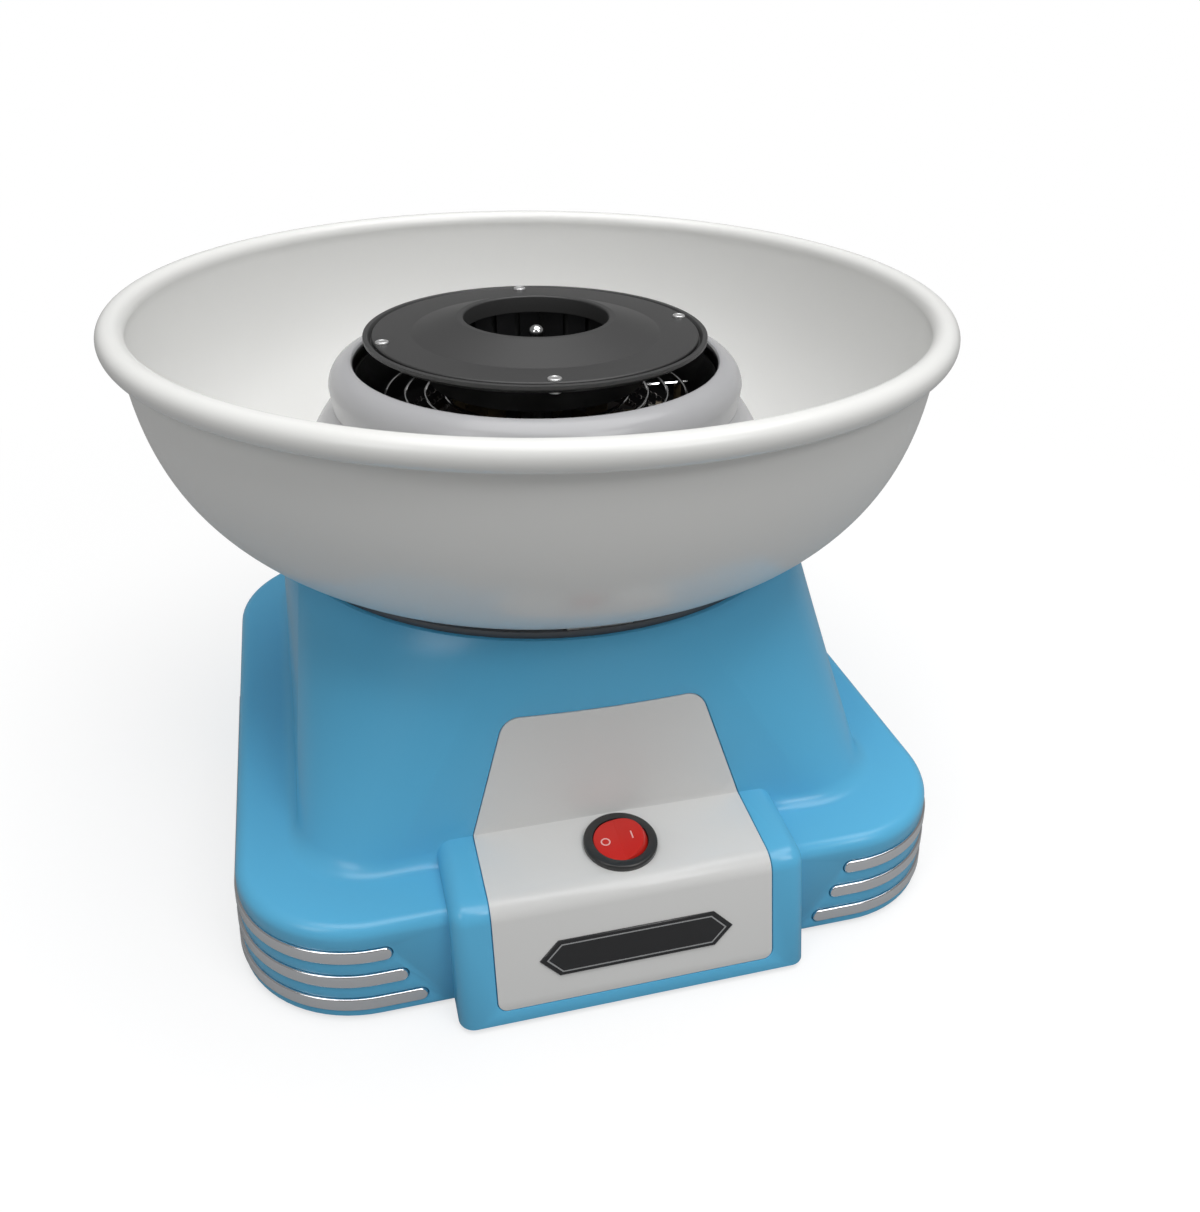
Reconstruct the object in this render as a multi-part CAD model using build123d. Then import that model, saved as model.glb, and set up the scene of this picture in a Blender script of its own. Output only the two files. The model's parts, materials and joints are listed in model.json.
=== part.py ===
"""Table-top cotton candy machine, in millimetres.

+Z is up, the front is towards -Y, and the origin lies on the bowl's axis at the level that the
rubber feet stand on. A moulded base carries a motor, a heater under a domed housing, a spinner
head on the motor's shaft, and a bowl that lifts off. Each function below makes one piece.
"""

import os
from math import atan, cos, degrees, radians, sin, tan

from build123d import *

# Fits and small allowances
SEAT_GAP = 0.3
RUNNING_GAP = 0.05
HUB_GAP = 0.08
PRESS_GAP = 0.02
SCREW_GAP = 0.1
JOIN = 1.0
OVERCUT = 5.0
FAR = 400.0

# Base moulding
FOOT_LIFT = 2.0
WALL = 3.0
PLINTH_HEIGHT = 34.0
PLINTH_HALF_WIDTH = 120.5
PLINTH_FRONT = 132.4
PLINTH_REAR = 115.0
PLINTH_FRONT_CORNER = 41.5
PLINTH_REAR_CORNER = 50.0
PLINTH_DRAFT_DEG = 3.3
PLINTH_EDGE_RADIUS = 4.5
TOWER_TOP_HEIGHT = 101.5
TOWER_TOP_RADIUS = 94.0
TOWER_HALF_WIDTH = 99.0
TOWER_FRONT = 108.3
TOWER_REAR = 96.0
TOWER_CORNER = 26.0
TOWER_COVE_RADIUS = 4.0
TOWER_COVE_STEPS = 4
TOWER_TOP_CORNER_DEG = 26.0
TOWER_FLANGE = 2.2
TOWER_OPENING_RADIUS = 84.0

# Console on the front of the base
CONSOLE_HALF_WIDTH = 56.5
CONSOLE_FOOT_Y = -146.0
CONSOLE_FOLD_Y = -136.3
CONSOLE_FOLD_HEIGHT = 38.7
CONSOLE_CREASE_Y = -106.8
CONSOLE_CREASE_HEIGHT = 41.1
CONSOLE_BACK_Y = -60.0
CONSOLE_FOLD_RADIUS = 7.0
CONSOLE_SIDE_RADIUS = 5.0

# Folded plate in the console and the tower
PLATE_THICKNESS = 1.2
PLATE_HALF_WIDTH = 44.5
PLATE_TOP_HALF_WIDTH = 32.2
PLATE_FOOT_HEIGHT = 4.5
PLATE_SHOULDER_HEIGHT = 41.0
PLATE_TOP_HEIGHT = 78.0
PLATE_FOOT_RADIUS = 3.0
PLATE_TOP_RADIUS = 7.0
PLATE_GAP = 0.4

# Round rocker switch
SWITCH_Y = -119.2
BEZEL_RADIUS = 11.75
BEZEL_HEIGHT = 2.0
BEZEL_EDGE = 0.8
BARREL_RADIUS = 9.95
BARREL_DEPTH = 14.0
BARREL_FLOOR = 1.5
ROCKER_RADIUS = 9.0
ROCKER_GAP = 0.15
ROCKER_LIP_RADIUS = 8.85
ROCKER_LIP_DEPTH = 0.8
PIVOT_DEPTH = 1.2
PIVOT_RADIUS = 1.0
PIVOT_END_WALL = 0.2
PIVOT_END_GAP = 0.2
ROCKER_CROWN = 2.9
ROCKER_KEEL = 4.0
ROCKER_THROW_DEG = 20.0
TERMINAL_SIZE = (6.3, 0.8, 9.0)
TERMINAL_STEP = 6.0

# Chrome strips, upper to lower: middle height, front end and rear end
STRIPS = {
    "upper": (23.7, 73.8, 15.0),
    "middle": (14.2, 69.7, 11.0),
    "lower": (4.8, 64.4, 7.0),
}
STRIP_HEIGHT = 4.5
STRIP_GROOVE = 5.3
STRIP_DEPTH = 1.6
STRIP_PROUD = 0.7

# Bottom plate, feet and screws
BOTTOM_THICKNESS = 2.2
BOTTOM_RECESS = 0.2
FOOT_RADIUS = 8.0
FOOT_STEM_RADIUS = 3.0
FOOT_STEM = 5.0
FRONT_FOOT = (100.0, -80.0)
REAR_FOOT = (98.0, 64.0)
FRONT_BOSS = (103.0, -103.0)
REAR_BOSS = (97.0, 92.0)
BOSS_RADIUS = 4.5
SCREW_RADIUS = 1.5
SCREW_HEAD_RADIUS = 2.9
SCREW_HEAD = 1.6
SCREW_LENGTH = 12.0
CROSS_WIDTH = 0.9
CROSS_DEPTH = 0.6
CROSS_MARGIN = 0.7
VENT_COUNT = 7
VENT_PITCH = 12.0
VENT_LENGTH = 46.0
VENT_WIDTH = 3.0

# Rear inlet
GLAND_HEIGHT = 16.0
GLAND_BORE = 3.6
GLAND_RADIUS = 6.0
GLAND_FLANGE_RADIUS = 9.0
GLAND_FLANGE = 2.0
GLAND_INSIDE = 9.0
GLAND_NUT_RADIUS = 9.5
GLAND_NUT = 4.0

# Deck on the tower
DECK_RADIUS = 92.5
DECK_THICKNESS = 2.2
DECK_BORE = 9.0
DECK_SCREW_CIRCLE = 88.0
DECK_SCREW_ANGLES = (90.0, 210.0, 330.0)
AIR_HOLE_RADIUS = 7.0
AIR_HOLE_CIRCLE = 24.0
AIR_HOLES = 6

# Bowl
BOWL_GAP = 0.3
BOWL_HOLE_RADIUS = 87.5
BOWL_WALL = 2.0
BOWL_CURVE_CENTRE = 88.5
BOWL_CURVE_WIDTH = 45.5
BOWL_DEPTH = 72.0
BOWL_CONE = 0.87
BOWL_FOOT_SLOPE = 0.3
RIM_RADIUS = 140.0
RIM_INNER_RADIUS = 131.5
RIM_HEIGHT = 7.6
RIM_BULGE = 3.6
RIM_CREASE = 1.4
RIM_BROW_INSET = 0.6
RIM_BROW_DROP = 2.0
LUG_COUNT = 3
LUG_ANGLE = 14.0
LUG_DEPTH = 1.4
LUG_INNER = 88.2
LUG_OUTER = 91.2
LUG_POCKET_GAP = 0.5

# Heater housing and wind ring; the profile is radius and share of the housing's height
HOUSING_WALL = 2.0
HOUSING_FOOT_RADIUS = 86.3
HOUSING_PROFILE = ((86.0, 0.1917), (83.9, 0.4919), (79.0, 0.7691))
HOUSING_TOP_RADIUS = 71.4
HOUSING_TOP_HEIGHT = 147.0
HOUSING_FLANGE_RADIUS = 77.0
HOUSING_SCREW_CIRCLE = 80.5
RING_BULGE = 0.7
RING_WIDEST_RADIUS = HOUSING_TOP_RADIUS + RING_BULGE
RING_WIDEST_RISE = 7.0
RING_WIDEST_HEIGHT = HOUSING_TOP_HEIGHT + RING_WIDEST_RISE
RING_FLANK_INSET = 0.1
RING_FLANK_DROP = 3.5
RING_CROWN_INSET = 1.5
RING_SHOULDER_INSET = 2.4
RING_SHOULDER_RISE = 12.9
RING_SHOULDER = (HOUSING_TOP_RADIUS - RING_SHOULDER_INSET, HOUSING_TOP_HEIGHT + RING_SHOULDER_RISE)
RING_LIP_RADIUS = 63.5
RING_LIP_RISE = 14.7
RING_LIP_HEIGHT = HOUSING_TOP_HEIGHT + RING_LIP_RISE
RING_SPIGOT = 4.0

# Heater
REFLECTOR_SHEET = 0.8
REFLECTOR_FLOOR_HEIGHT = 128.5
REFLECTOR_FLOOR_RADIUS = 50.0
REFLECTOR_WAIST = (56.0, 138.0)
REFLECTOR_TOP = (62.4, 156.3)
REFLECTOR_BORE = 9.0
STANDOFF_CIRCLE = 42.0
STANDOFF_RADIUS = 4.0
STANDOFF_BORE = 1.7
STANDOFFS = 3
BOARDS = 6
BOARD_SHEET = 0.8
BOARD_INNER = 18.0
BOARD_OUTER = 54.0
BOARD_FOOT_OUTER = 48.0
BOARD_SADDLE_INNER = 26.0
BOARD_SADDLE_OUTER = 51.4
BOARD_SADDLE_HEIGHT = 138.0
BOARD_SHOULDER_HEIGHT = 139.0
BOARD_TOP_HEIGHT = 146.2
COIL_WIRE = 0.8
COIL_OUTER = 49.0
COIL_PITCH = 6.0
COIL_HALF_TURNS = 6
GUARD_WIRE = 0.6
GUARD_HEIGHT = 148.0
GUARD_RADII = (32.6, 39.3, 46.0, 53.4)
GUARD_STRUTS = 3
GUARD_STRUT_DROP = 0.9
GUARD_STRUT_REACH = 56.5
LEAD_RADIUS = 1.2
LEAD_HEIGHT = 144.0
LEAD_INSET = 14.0
LEAD_ANGLES = (-22.0, 200.0)
BEAD_RADIUS = 2.4
BEAD_LENGTH = 5.0
FUSE_RADIUS = 2.4
FUSE_LENGTH = 13.0
FUSE_CIRCLE = 36.0
FUSE_SECTOR_DEG = 60.0
FUSE_LEAD_RADIUS = 0.5
FUSE_LEAD = 4.0

# Motor, hung under the deck
SHAFT_RADIUS = 2.8
SHAFT_TIP_HEIGHT = 171.5
SHAFT_CLEARANCE = 1.0
BRACKET_HEIGHT = 88.0
BRACKET_SHEET = 1.5
BRACKET_RADIUS = 46.0
BRACKET_BORE = 8.0
POST_CIRCLE = 40.0
POST_RADIUS = 4.0
POSTS = 4
GROMMET_RADIUS = 5.5
GROMMET_THICKNESS = 3.0
CAN_RADIUS = 26.0
CAN_WALL = 1.5
CAN_LENGTH = 52.0
CAN_SCREW_INSET = 7.0
MAGNET_THICKNESS = 3.0
MAGNET_LENGTH = 26.0
MAGNET_SPAN_DEG = 140.0
MAGNET_DROP = 12.0
BUSH_RADIUS = 5.0
BUSH_LENGTH = 4.0
POCKET_WALL = 1.8
END_CAP = 4.0
END_CAP_SPIGOT = 3.0
CORE_RADIUS = 20.8
CORE_LENGTH = 22.0
CORE_SLOTS = 12
CORE_SLOT_WIDTH = 2.0
CORE_SLOT_DEPTH = 8.0
WINDING_RADIUS = 17.5
WINDING_INNER = 7.0
WINDING_HEIGHT = 4.0
COMMUTATOR_RADIUS = 6.0
COMMUTATOR_LENGTH = 7.0
COMMUTATOR_GAP = 0.5
BRUSH_SIZE = (8.0, 4.0, 5.0)
BRUSH_WALL = 1.2
BRUSH_HOLDER_INSET = 2.0
BRUSH_SLOT_END = 22.0
FAN_RADIUS = 32.0
FAN_HUB_RADIUS = 7.0
FAN_HEIGHT = 8.0
FAN_BLADES = 7
FAN_BLADE_SHEET = 1.4
FAN_BLADE_DEG = 40.0
FAN_ROOT = 1.5
FAN_GAP = 0.5
PIN_RADIUS = 1.0
PIN_LENGTH = 13.0
PIN_INSET = 0.4

# Spinner head
HUB_RADIUS = 5.0
HUB_FOOT_HEIGHT = 148.5
HUB_TOP_HEIGHT = 164.0
HUB_SLEEVE = 12.0
HUB_FLARE = 3.0
CUP_RADIUS = 38.0
CUP_FLOOR_HEIGHT = 154.0
HEAD_SHEET = 1.3
FLANGE_HEIGHT = 166.8
FLANGE_RADIUS = 59.2
FLANGE_LIP = 1.8
FLANGE_LIP_WIDTH = 1.6
FLANGE_LIP_ROOT = 0.8
FLANGE_BEVEL = 2.8
HEAD_SLIT = 0.8
HEAD_RADIUS = 56.2
HEAD_TOP_HEIGHT = 170.0
COLLAR_FOOT_RADIUS = 43.0
COLLAR_RADIUS = 26.3
COLLAR_HOLE = 25.0
COLLAR_HEIGHT = 175.0
RIVET_CIRCLE = 53.6
RIVET_ANGLES = (5.0, 85.0, 186.0, 264.0)
RIVET_SHANK = 1.2
RIVET_HEAD = 2.35
RIVET_HEAD_HEIGHT = 0.8
RIVET_SPACER = 2.2
SCREEN_RADIUS = 35.5
SCREEN_SHEET = 0.6
SCREEN_SLOTS = 24
SCREEN_SLOT_WIDTH = 2.0
SCREEN_BAND = 1.5

# Heights above the table, from the sizes above
BASE_Z = FOOT_LIFT
PLINTH_TOP_Z = BASE_Z + PLINTH_HEIGHT
TOWER_TOP_Z = BASE_Z + TOWER_TOP_HEIGHT
DECK_TOP_Z = TOWER_TOP_Z + DECK_THICKNESS
BOWL_FOOT_Z = DECK_TOP_Z + BOWL_GAP
BOWL_CURVE_Z = BOWL_FOOT_Z + BOWL_DEPTH
BOTTOM_PLATE_Z = BASE_Z + BOTTOM_RECESS
BOTTOM_PLATE_TOP_Z = BOTTOM_PLATE_Z + BOTTOM_THICKNESS
RING_FOOT_Z = BASE_Z + HOUSING_TOP_HEIGHT
REFLECTOR_Z = BASE_Z + REFLECTOR_FLOOR_HEIGHT
REFLECTOR_TOP_Z = REFLECTOR_Z + REFLECTOR_SHEET
BRACKET_Z = BASE_Z + BRACKET_HEIGHT
CAN_TOP_Z = BRACKET_Z
CAN_FOOT_Z = CAN_TOP_Z - CAN_LENGTH
CORE_TOP_Z = CAN_TOP_Z - MAGNET_DROP - (MAGNET_LENGTH - CORE_LENGTH) / 2
CORE_FOOT_Z = CORE_TOP_Z - CORE_LENGTH
COMMUTATOR_Z = CORE_FOOT_Z - WINDING_HEIGHT - COMMUTATOR_GAP - COMMUTATOR_LENGTH
POST_FOOT_Z = BRACKET_Z + BRACKET_SHEET + GROMMET_THICKNESS
FAN_Z = POST_FOOT_Z + FAN_GAP
CUP_FLOOR_Z = BASE_Z + CUP_FLOOR_HEIGHT
CUP_INSIDE_Z = CUP_FLOOR_Z + HEAD_SHEET
FLANGE_Z = BASE_Z + FLANGE_HEIGHT
FLANGE_TOP_Z = FLANGE_Z + HEAD_SHEET
HEAD_PLATE_Z = FLANGE_TOP_Z + HEAD_SLIT
HEAD_TOP_Z = BASE_Z + HEAD_TOP_HEIGHT
PIN_Z = BASE_Z + HUB_FOOT_HEIGHT + PIN_RADIUS + PIN_INSET
PANEL_SLOPE = (CONSOLE_CREASE_HEIGHT - CONSOLE_FOLD_HEIGHT) / (CONSOLE_CREASE_Y - CONSOLE_FOLD_Y)
FRONT_SLOPE = (CONSOLE_FOLD_Y - CONSOLE_FOOT_Y) / CONSOLE_FOLD_HEIGHT
PANEL_DEG = degrees(atan(PANEL_SLOPE))
SWITCH_Z = BASE_Z + CONSOLE_FOLD_HEIGHT + PANEL_SLOPE * (SWITCH_Y - CONSOLE_FOLD_Y)
PANEL_PLANE = Plane(
    origin=(0, SWITCH_Y, SWITCH_Z),
    x_dir=(1, 0, 0),
    z_dir=(0, -sin(radians(PANEL_DEG)), cos(radians(PANEL_DEG))),
)


def polar(radius, angle, z=0.0):
    """Point at a radius and an angle in degrees about the axis of the bowl."""
    return (radius * cos(radians(angle)), radius * sin(radians(angle)), z)


def disc(radius, z_low, z_high, centre=(0.0, 0.0)):
    """Upright cylinder between two heights."""
    height = z_high - z_low
    return Pos(centre[0], centre[1], z_low + height / 2) * Cylinder(radius, height)


def annulus(outer, inner, z_low, z_high, centre=(0.0, 0.0)):
    """Upright tube between two heights."""
    hole = disc(inner, z_low - OVERCUT, z_high + OVERCUT, centre)
    return disc(outer, z_low, z_high, centre) - hole


def slab(z_low, z_high):
    """Block that covers the whole plan between two heights."""
    return Pos(0, 0, (z_low + z_high) / 2) * Box(FAR, FAR, z_high - z_low)


def turned(edges):
    """Solid of revolution about the bowl's axis, from a closed outline of (radius, height) edges."""
    return revolve(Plane.XZ * make_face(edges), Axis.Z)


def turned_polygon(points):
    """Solid of revolution from straight runs between (radius, height) points."""
    return turned(Polyline(*points, close=True))


def corner_points(half_width, front, rear, front_corner, rear_corner, z):
    """Start, middle and end of the four corner arcs of a rounded rectangle, from the front right."""
    corners = (
        (1, -1, -front, front_corner),
        (1, 1, rear, rear_corner),
        (-1, 1, rear, rear_corner),
        (-1, -1, -front, front_corner),
    )
    arcs = []
    for k, (side, end, edge_y, radius) in enumerate(corners):
        middle = Vector(side * (half_width - radius), edge_y - end * radius, z)
        turns = [90.0 * (k + share) for share in (-1.0, -0.5, 0.0)]
        arcs.append([middle + Vector(*polar(radius, turn)) for turn in turns])
    return arcs


def corner_section(*sizes):
    """Rounded rectangle as a face of four arcs and four lines, from the sizes of corner_points."""
    arcs = corner_points(*sizes)
    edges = []
    for arc, following in zip(arcs, arcs[1:] + arcs[:1]):
        edges.append(ThreePointArc(*arc))
        edges.append(Line(arc[2], following[0]))
    return make_face(edges)


def plinth(inset, z_low=BASE_Z, z_high=PLINTH_TOP_Z):
    """Tapered plinth block, its walls moved inwards by inset."""
    sections = []
    for z in (z_low, z_high):
        step = inset + (z - BASE_Z) * tan(radians(PLINTH_DRAFT_DEG))
        sections.append(
            corner_section(
                PLINTH_HALF_WIDTH - step,
                PLINTH_FRONT - step,
                PLINTH_REAR - step,
                PLINTH_FRONT_CORNER - step,
                PLINTH_REAR_CORNER - step,
                z,
            )
        )
    return loft(sections, ruled=True)


def tower_section(share, grow, z):
    """Outline of the tower between its rounded-square foot, share 0, and its round top, share 1."""
    foot = corner_points(
        TOWER_HALF_WIDTH + grow,
        TOWER_FRONT + grow,
        TOWER_REAR + grow,
        TOWER_CORNER + grow,
        TOWER_CORNER + grow,
        z,
    )
    top_radius = TOWER_TOP_RADIUS + grow
    arcs = []
    for k, arc in enumerate(foot):
        middle = 90.0 * (k - 0.5)
        turns = (middle - TOWER_TOP_CORNER_DEG, middle, middle + TOWER_TOP_CORNER_DEG)
        top = [Vector(*polar(top_radius, turn, z)) for turn in turns]
        arcs.append([low + (high - low) * share for low, high in zip(arc, top)])
    edges = []
    for k, (arc, following) in enumerate(zip(arcs, arcs[1:] + arcs[:1])):
        low = (arc[2] + following[0]) / 2
        high = Vector(*polar(top_radius, 90.0 * k, z))
        edges.append(ThreePointArc(*arc))
        if share:
            edges.append(ThreePointArc(arc[2], low + (high - low) * share, following[0]))
        else:
            edges.append(Line(arc[2], following[0]))
    return make_face(edges)


def tower(inset):
    """Tower with a hollow cove at its foot, walls moved inwards by inset."""
    height = TOWER_TOP_Z - PLINTH_TOP_Z
    sections = []
    for k in range(TOWER_COVE_STEPS + 1):
        turn = radians(90.0 * k / TOWER_COVE_STEPS)
        rise = TOWER_COVE_RADIUS * (1 - cos(turn))
        grow = TOWER_COVE_RADIUS * (1 - sin(turn)) - inset
        sections.append(tower_section(rise / height, grow, PLINTH_TOP_Z + rise))
    sections.append(tower_section(1.0, -inset, TOWER_TOP_Z))
    root = extrude(sections[0], amount=-(WALL + JOIN))
    return loft(sections, ruled=True) + root


def console(inset):
    """Console block with a leaning front and a nearly level top, open-ended below and behind."""
    low_z = BASE_Z - 4 * OVERCUT
    low_y = CONSOLE_FOOT_Y - 4 * OVERCUT * FRONT_SLOPE
    back_z = BASE_Z + CONSOLE_CREASE_HEIGHT + PANEL_SLOPE * (CONSOLE_BACK_Y - CONSOLE_CREASE_Y)
    profile = Polygon(
        (low_y, low_z),
        (CONSOLE_BACK_Y, low_z),
        (CONSOLE_BACK_Y, back_z),
        (CONSOLE_FOLD_Y, BASE_Z + CONSOLE_FOLD_HEIGHT),
        align=None,
    )
    if inset:
        profile = offset(profile, amount=-inset, kind=Kind.INTERSECTION)
    fold = profile.vertices().sort_by(Axis.X)[:2].sort_by(Axis.Y)[-1]
    profile = fillet(fold, CONSOLE_FOLD_RADIUS - inset)
    return extrude(Plane.YZ * profile, amount=CONSOLE_HALF_WIDTH - inset, both=True)


def body(inset):
    """Tower, plinth and console as one block without small radii, walls moved inwards by inset."""
    return tower(inset) + plinth(inset) + console(inset) - slab(BASE_Z - FAR, BASE_Z)


def rounded_outside():
    """The base's outer form, with its edge radii."""
    block = plinth(0)
    top_edges = block.edges().filter_by(lambda e: e.center().Z > PLINTH_TOP_Z - 0.01)
    block = fillet(top_edges, PLINTH_EDGE_RADIUS)
    front = console(0)
    side_edges = front.edges().filter_by(
        lambda e: abs(abs(e.center().X) - CONSOLE_HALF_WIDTH) < 0.01
        and e.center().Y < CONSOLE_BACK_Y - 1.0
        and e.center().Z > BASE_Z - 3 * OVERCUT
    )
    front = fillet(side_edges, CONSOLE_SIDE_RADIUS)
    return block + tower(0) + front - slab(BASE_Z - FAR, BASE_Z)


def plate_prism(gap):
    """Front outline of the folded plate, grown by gap, as a block along Y."""
    foot_z = BASE_Z + PLATE_FOOT_HEIGHT
    shoulder_z = BASE_Z + PLATE_SHOULDER_HEIGHT
    top_z = BASE_Z + PLATE_TOP_HEIGHT
    outline = Polygon(
        (-PLATE_HALF_WIDTH, foot_z),
        (PLATE_HALF_WIDTH, foot_z),
        (PLATE_HALF_WIDTH, shoulder_z),
        (PLATE_TOP_HALF_WIDTH, top_z),
        (-PLATE_TOP_HALF_WIDTH, top_z),
        (-PLATE_HALF_WIDTH, shoulder_z),
        align=None,
    )
    outline = fillet(outline.vertices().sort_by(Axis.Y)[:2], PLATE_FOOT_RADIUS)
    outline = fillet(outline.vertices().sort_by(Axis.Y)[-2:], PLATE_TOP_RADIUS)
    if gap:
        outline = offset(outline, amount=gap)
    return extrude(Plane.XZ * outline, amount=FAR / 2)


def on_panel(shape):
    """A shape drawn about the switch, put in its place on the console's top."""
    return PANEL_PLANE * shape


def strip_prism(side, name, height):
    """Block that cuts one strip's length out of the plinth's wall, with half-round ends."""
    middle, front_end, rear_end = STRIPS[name]
    half = height / 2
    z = BASE_Z + middle
    grow = half - STRIP_HEIGHT / 2
    front_x = side * (front_end - grow)
    run = Pos(front_x + side * FAR / 4, z) * Rectangle(FAR / 2 - 2 * half, height)
    run += Pos(front_x + side * half, z) * Circle(half)
    across = extrude(Plane.XZ * run, amount=FAR, both=True)
    rear_y = rear_end + grow
    reach = Pos(rear_y - FAR / 4, z) * Rectangle(FAR / 2 - 2 * half, height)
    reach += Pos(rear_y - half, z) * Circle(half)
    along = extrude(Plane.YZ * reach, amount=side * FAR)
    return across & along


def groove(side, name):
    """Recess of one strip in the plinth's wall."""
    band = plinth(-OVERCUT, z_low=BASE_Z - 1.0) - plinth(STRIP_DEPTH, z_low=BASE_Z - 2.0)
    return band & strip_prism(side, name, STRIP_GROOVE)


def trim_strip(side, name):
    """One chrome strip."""
    band = plinth(-STRIP_PROUD) - plinth(STRIP_DEPTH, z_low=BASE_Z - 2.0)
    return band & strip_prism(side, name, STRIP_HEIGHT)


def mirrored_pairs(*places):
    """Each (x, y) place and its mirror image across the YZ plane."""
    return [(side * x, y) for x, y in places for side in (1, -1)]


BOSS_PLACES = mirrored_pairs(FRONT_BOSS, REAR_BOSS)
FOOT_PLACES = mirrored_pairs(FRONT_FOOT, REAR_FOOT)
DECK_SCREWS = [polar(DECK_SCREW_CIRCLE, turn)[:2] for turn in DECK_SCREW_ANGLES]
POST_PLACES = [polar(POST_CIRCLE, 45.0 + 360.0 * k / POSTS)[:2] for k in range(POSTS)]
STANDOFF_PLACES = [polar(STANDOFF_CIRCLE, 30.0 + 360.0 * k / STANDOFFS)[:2] for k in range(STANDOFFS)]
HOUSING_SCREWS = [polar(HOUSING_SCREW_CIRCLE, 90.0 * k)[:2] for k in range(4)]


def rear_wall_y(z):
    """The outer rear wall's place at one height."""
    return PLINTH_REAR - (z - BASE_Z) * tan(radians(PLINTH_DRAFT_DEG))


def along_y(radius, y_low, y_high, z):
    """Cylinder along Y on the middle plane."""
    return Pos(0, (y_low + y_high) / 2, z) * Rot(90, 0, 0) * Cylinder(radius, y_high - y_low)


def base_shell():
    hollow = plinth(WALL, z_low=BASE_Z - OVERCUT, z_high=PLINTH_TOP_Z - WALL)
    hollow += tower(WALL) - slab(TOWER_TOP_Z - TOWER_FLANGE, FAR)
    hollow += console(WALL)
    shell = rounded_outside() - hollow
    shell -= disc(TOWER_OPENING_RADIUS, TOWER_TOP_Z - 2 * TOWER_FLANGE, TOWER_TOP_Z + OVERCUT)
    for place in BOSS_PLACES:
        shell += disc(BOSS_RADIUS, BOTTOM_PLATE_TOP_Z, PLINTH_TOP_Z - WALL / 2, place)
        shell -= disc(SCREW_RADIUS + PRESS_GAP, BASE_Z, BOTTOM_PLATE_TOP_Z + SCREW_LENGTH, place)
    shell -= (body(-OVERCUT) - body(PLATE_THICKNESS)) & plate_prism(PLATE_GAP)
    for side in (-1, 1):
        for name in STRIPS:
            shell -= groove(side, name)
    shell -= on_panel(Cylinder(BARREL_RADIUS + SCREW_GAP, 6 * WALL))
    gland_z = BASE_Z + GLAND_HEIGHT
    shell -= along_y(GLAND_RADIUS + SCREW_GAP, PLINTH_REAR - 4 * WALL, PLINTH_REAR + WALL, gland_z)
    for place in DECK_SCREWS:
        shell -= disc(SCREW_RADIUS + PRESS_GAP, TOWER_TOP_Z - 2 * TOWER_FLANGE, FAR, place)
    return shell


def faceplate():
    plate = (body(0) - body(PLATE_THICKNESS)) & plate_prism(0)
    return plate - on_panel(Cylinder(BARREL_RADIUS + SCREW_GAP, 6 * WALL))


def switch_housing():
    bezel = Pos(0, 0, BEZEL_HEIGHT / 2) * Cylinder(BEZEL_RADIUS, BEZEL_HEIGHT)
    bezel = fillet(bezel.edges().sort_by(Axis.Z)[-1], BEZEL_EDGE)
    barrel = Pos(0, 0, -BARREL_DEPTH / 2) * Cylinder(BARREL_RADIUS, BARREL_DEPTH)
    lip_z = BEZEL_HEIGHT - ROCKER_LIP_DEPTH
    bore_foot = BARREL_FLOOR - BARREL_DEPTH
    bore = Pos(0, 0, (lip_z + bore_foot) / 2) * Cylinder(ROCKER_RADIUS + ROCKER_GAP, lip_z - bore_foot)
    lip = Pos(0, 0, BEZEL_HEIGHT) * Cylinder(ROCKER_LIP_RADIUS, 2 * ROCKER_LIP_DEPTH)
    pivot = Pos(0, 0, -PIVOT_DEPTH) * Rot(90, 0, 0)
    holes = pivot * Cylinder(PIVOT_RADIUS + RUNNING_GAP, 2 * (BARREL_RADIUS - PIVOT_END_WALL))
    housing = bezel + barrel - bore - lip - holes
    for k in (-1, 0, 1):
        slot = Box(TERMINAL_SIZE[0] + SCREW_GAP, TERMINAL_SIZE[1] + SCREW_GAP, 4 * BARREL_FLOOR)
        housing -= Pos(0, k * TERMINAL_STEP, -BARREL_DEPTH) * slot
    return on_panel(housing)


def switch_terminals():
    foot_z = -BARREL_DEPTH + BARREL_FLOOR - TERMINAL_SIZE[2] / 2
    blades = [Pos(0, k * TERMINAL_STEP, foot_z) * Box(*TERMINAL_SIZE) for k in (-1, 0, 1)]
    return on_panel(Compound(children=blades))


def switch_rocker():
    """Rocker about its pins, at rest with its left half pressed down."""
    half_throw = ROCKER_THROW_DEG / 2
    rise = ROCKER_RADIUS * tan(radians(half_throw))
    outline = Polygon(
        (-ROCKER_RADIUS, -ROCKER_KEEL / 2),
        (0, -ROCKER_KEEL),
        (ROCKER_RADIUS, -ROCKER_KEEL / 2),
        (ROCKER_RADIUS, ROCKER_CROWN + rise),
        (0, ROCKER_CROWN),
        (-ROCKER_RADIUS, ROCKER_CROWN + rise),
        align=None,
    )
    block = extrude(Plane.XZ * outline, amount=ROCKER_RADIUS, both=True)
    rocker = block & Sphere(ROCKER_RADIUS)
    reach = BARREL_RADIUS - PIVOT_END_WALL - PIVOT_END_GAP
    pins = Rot(90, 0, 0) * Cylinder(PIVOT_RADIUS, 2 * reach)
    return on_panel(Pos(0, 0, -PIVOT_DEPTH) * Rot(0, -half_throw, 0) * (rocker + pins))


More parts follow.
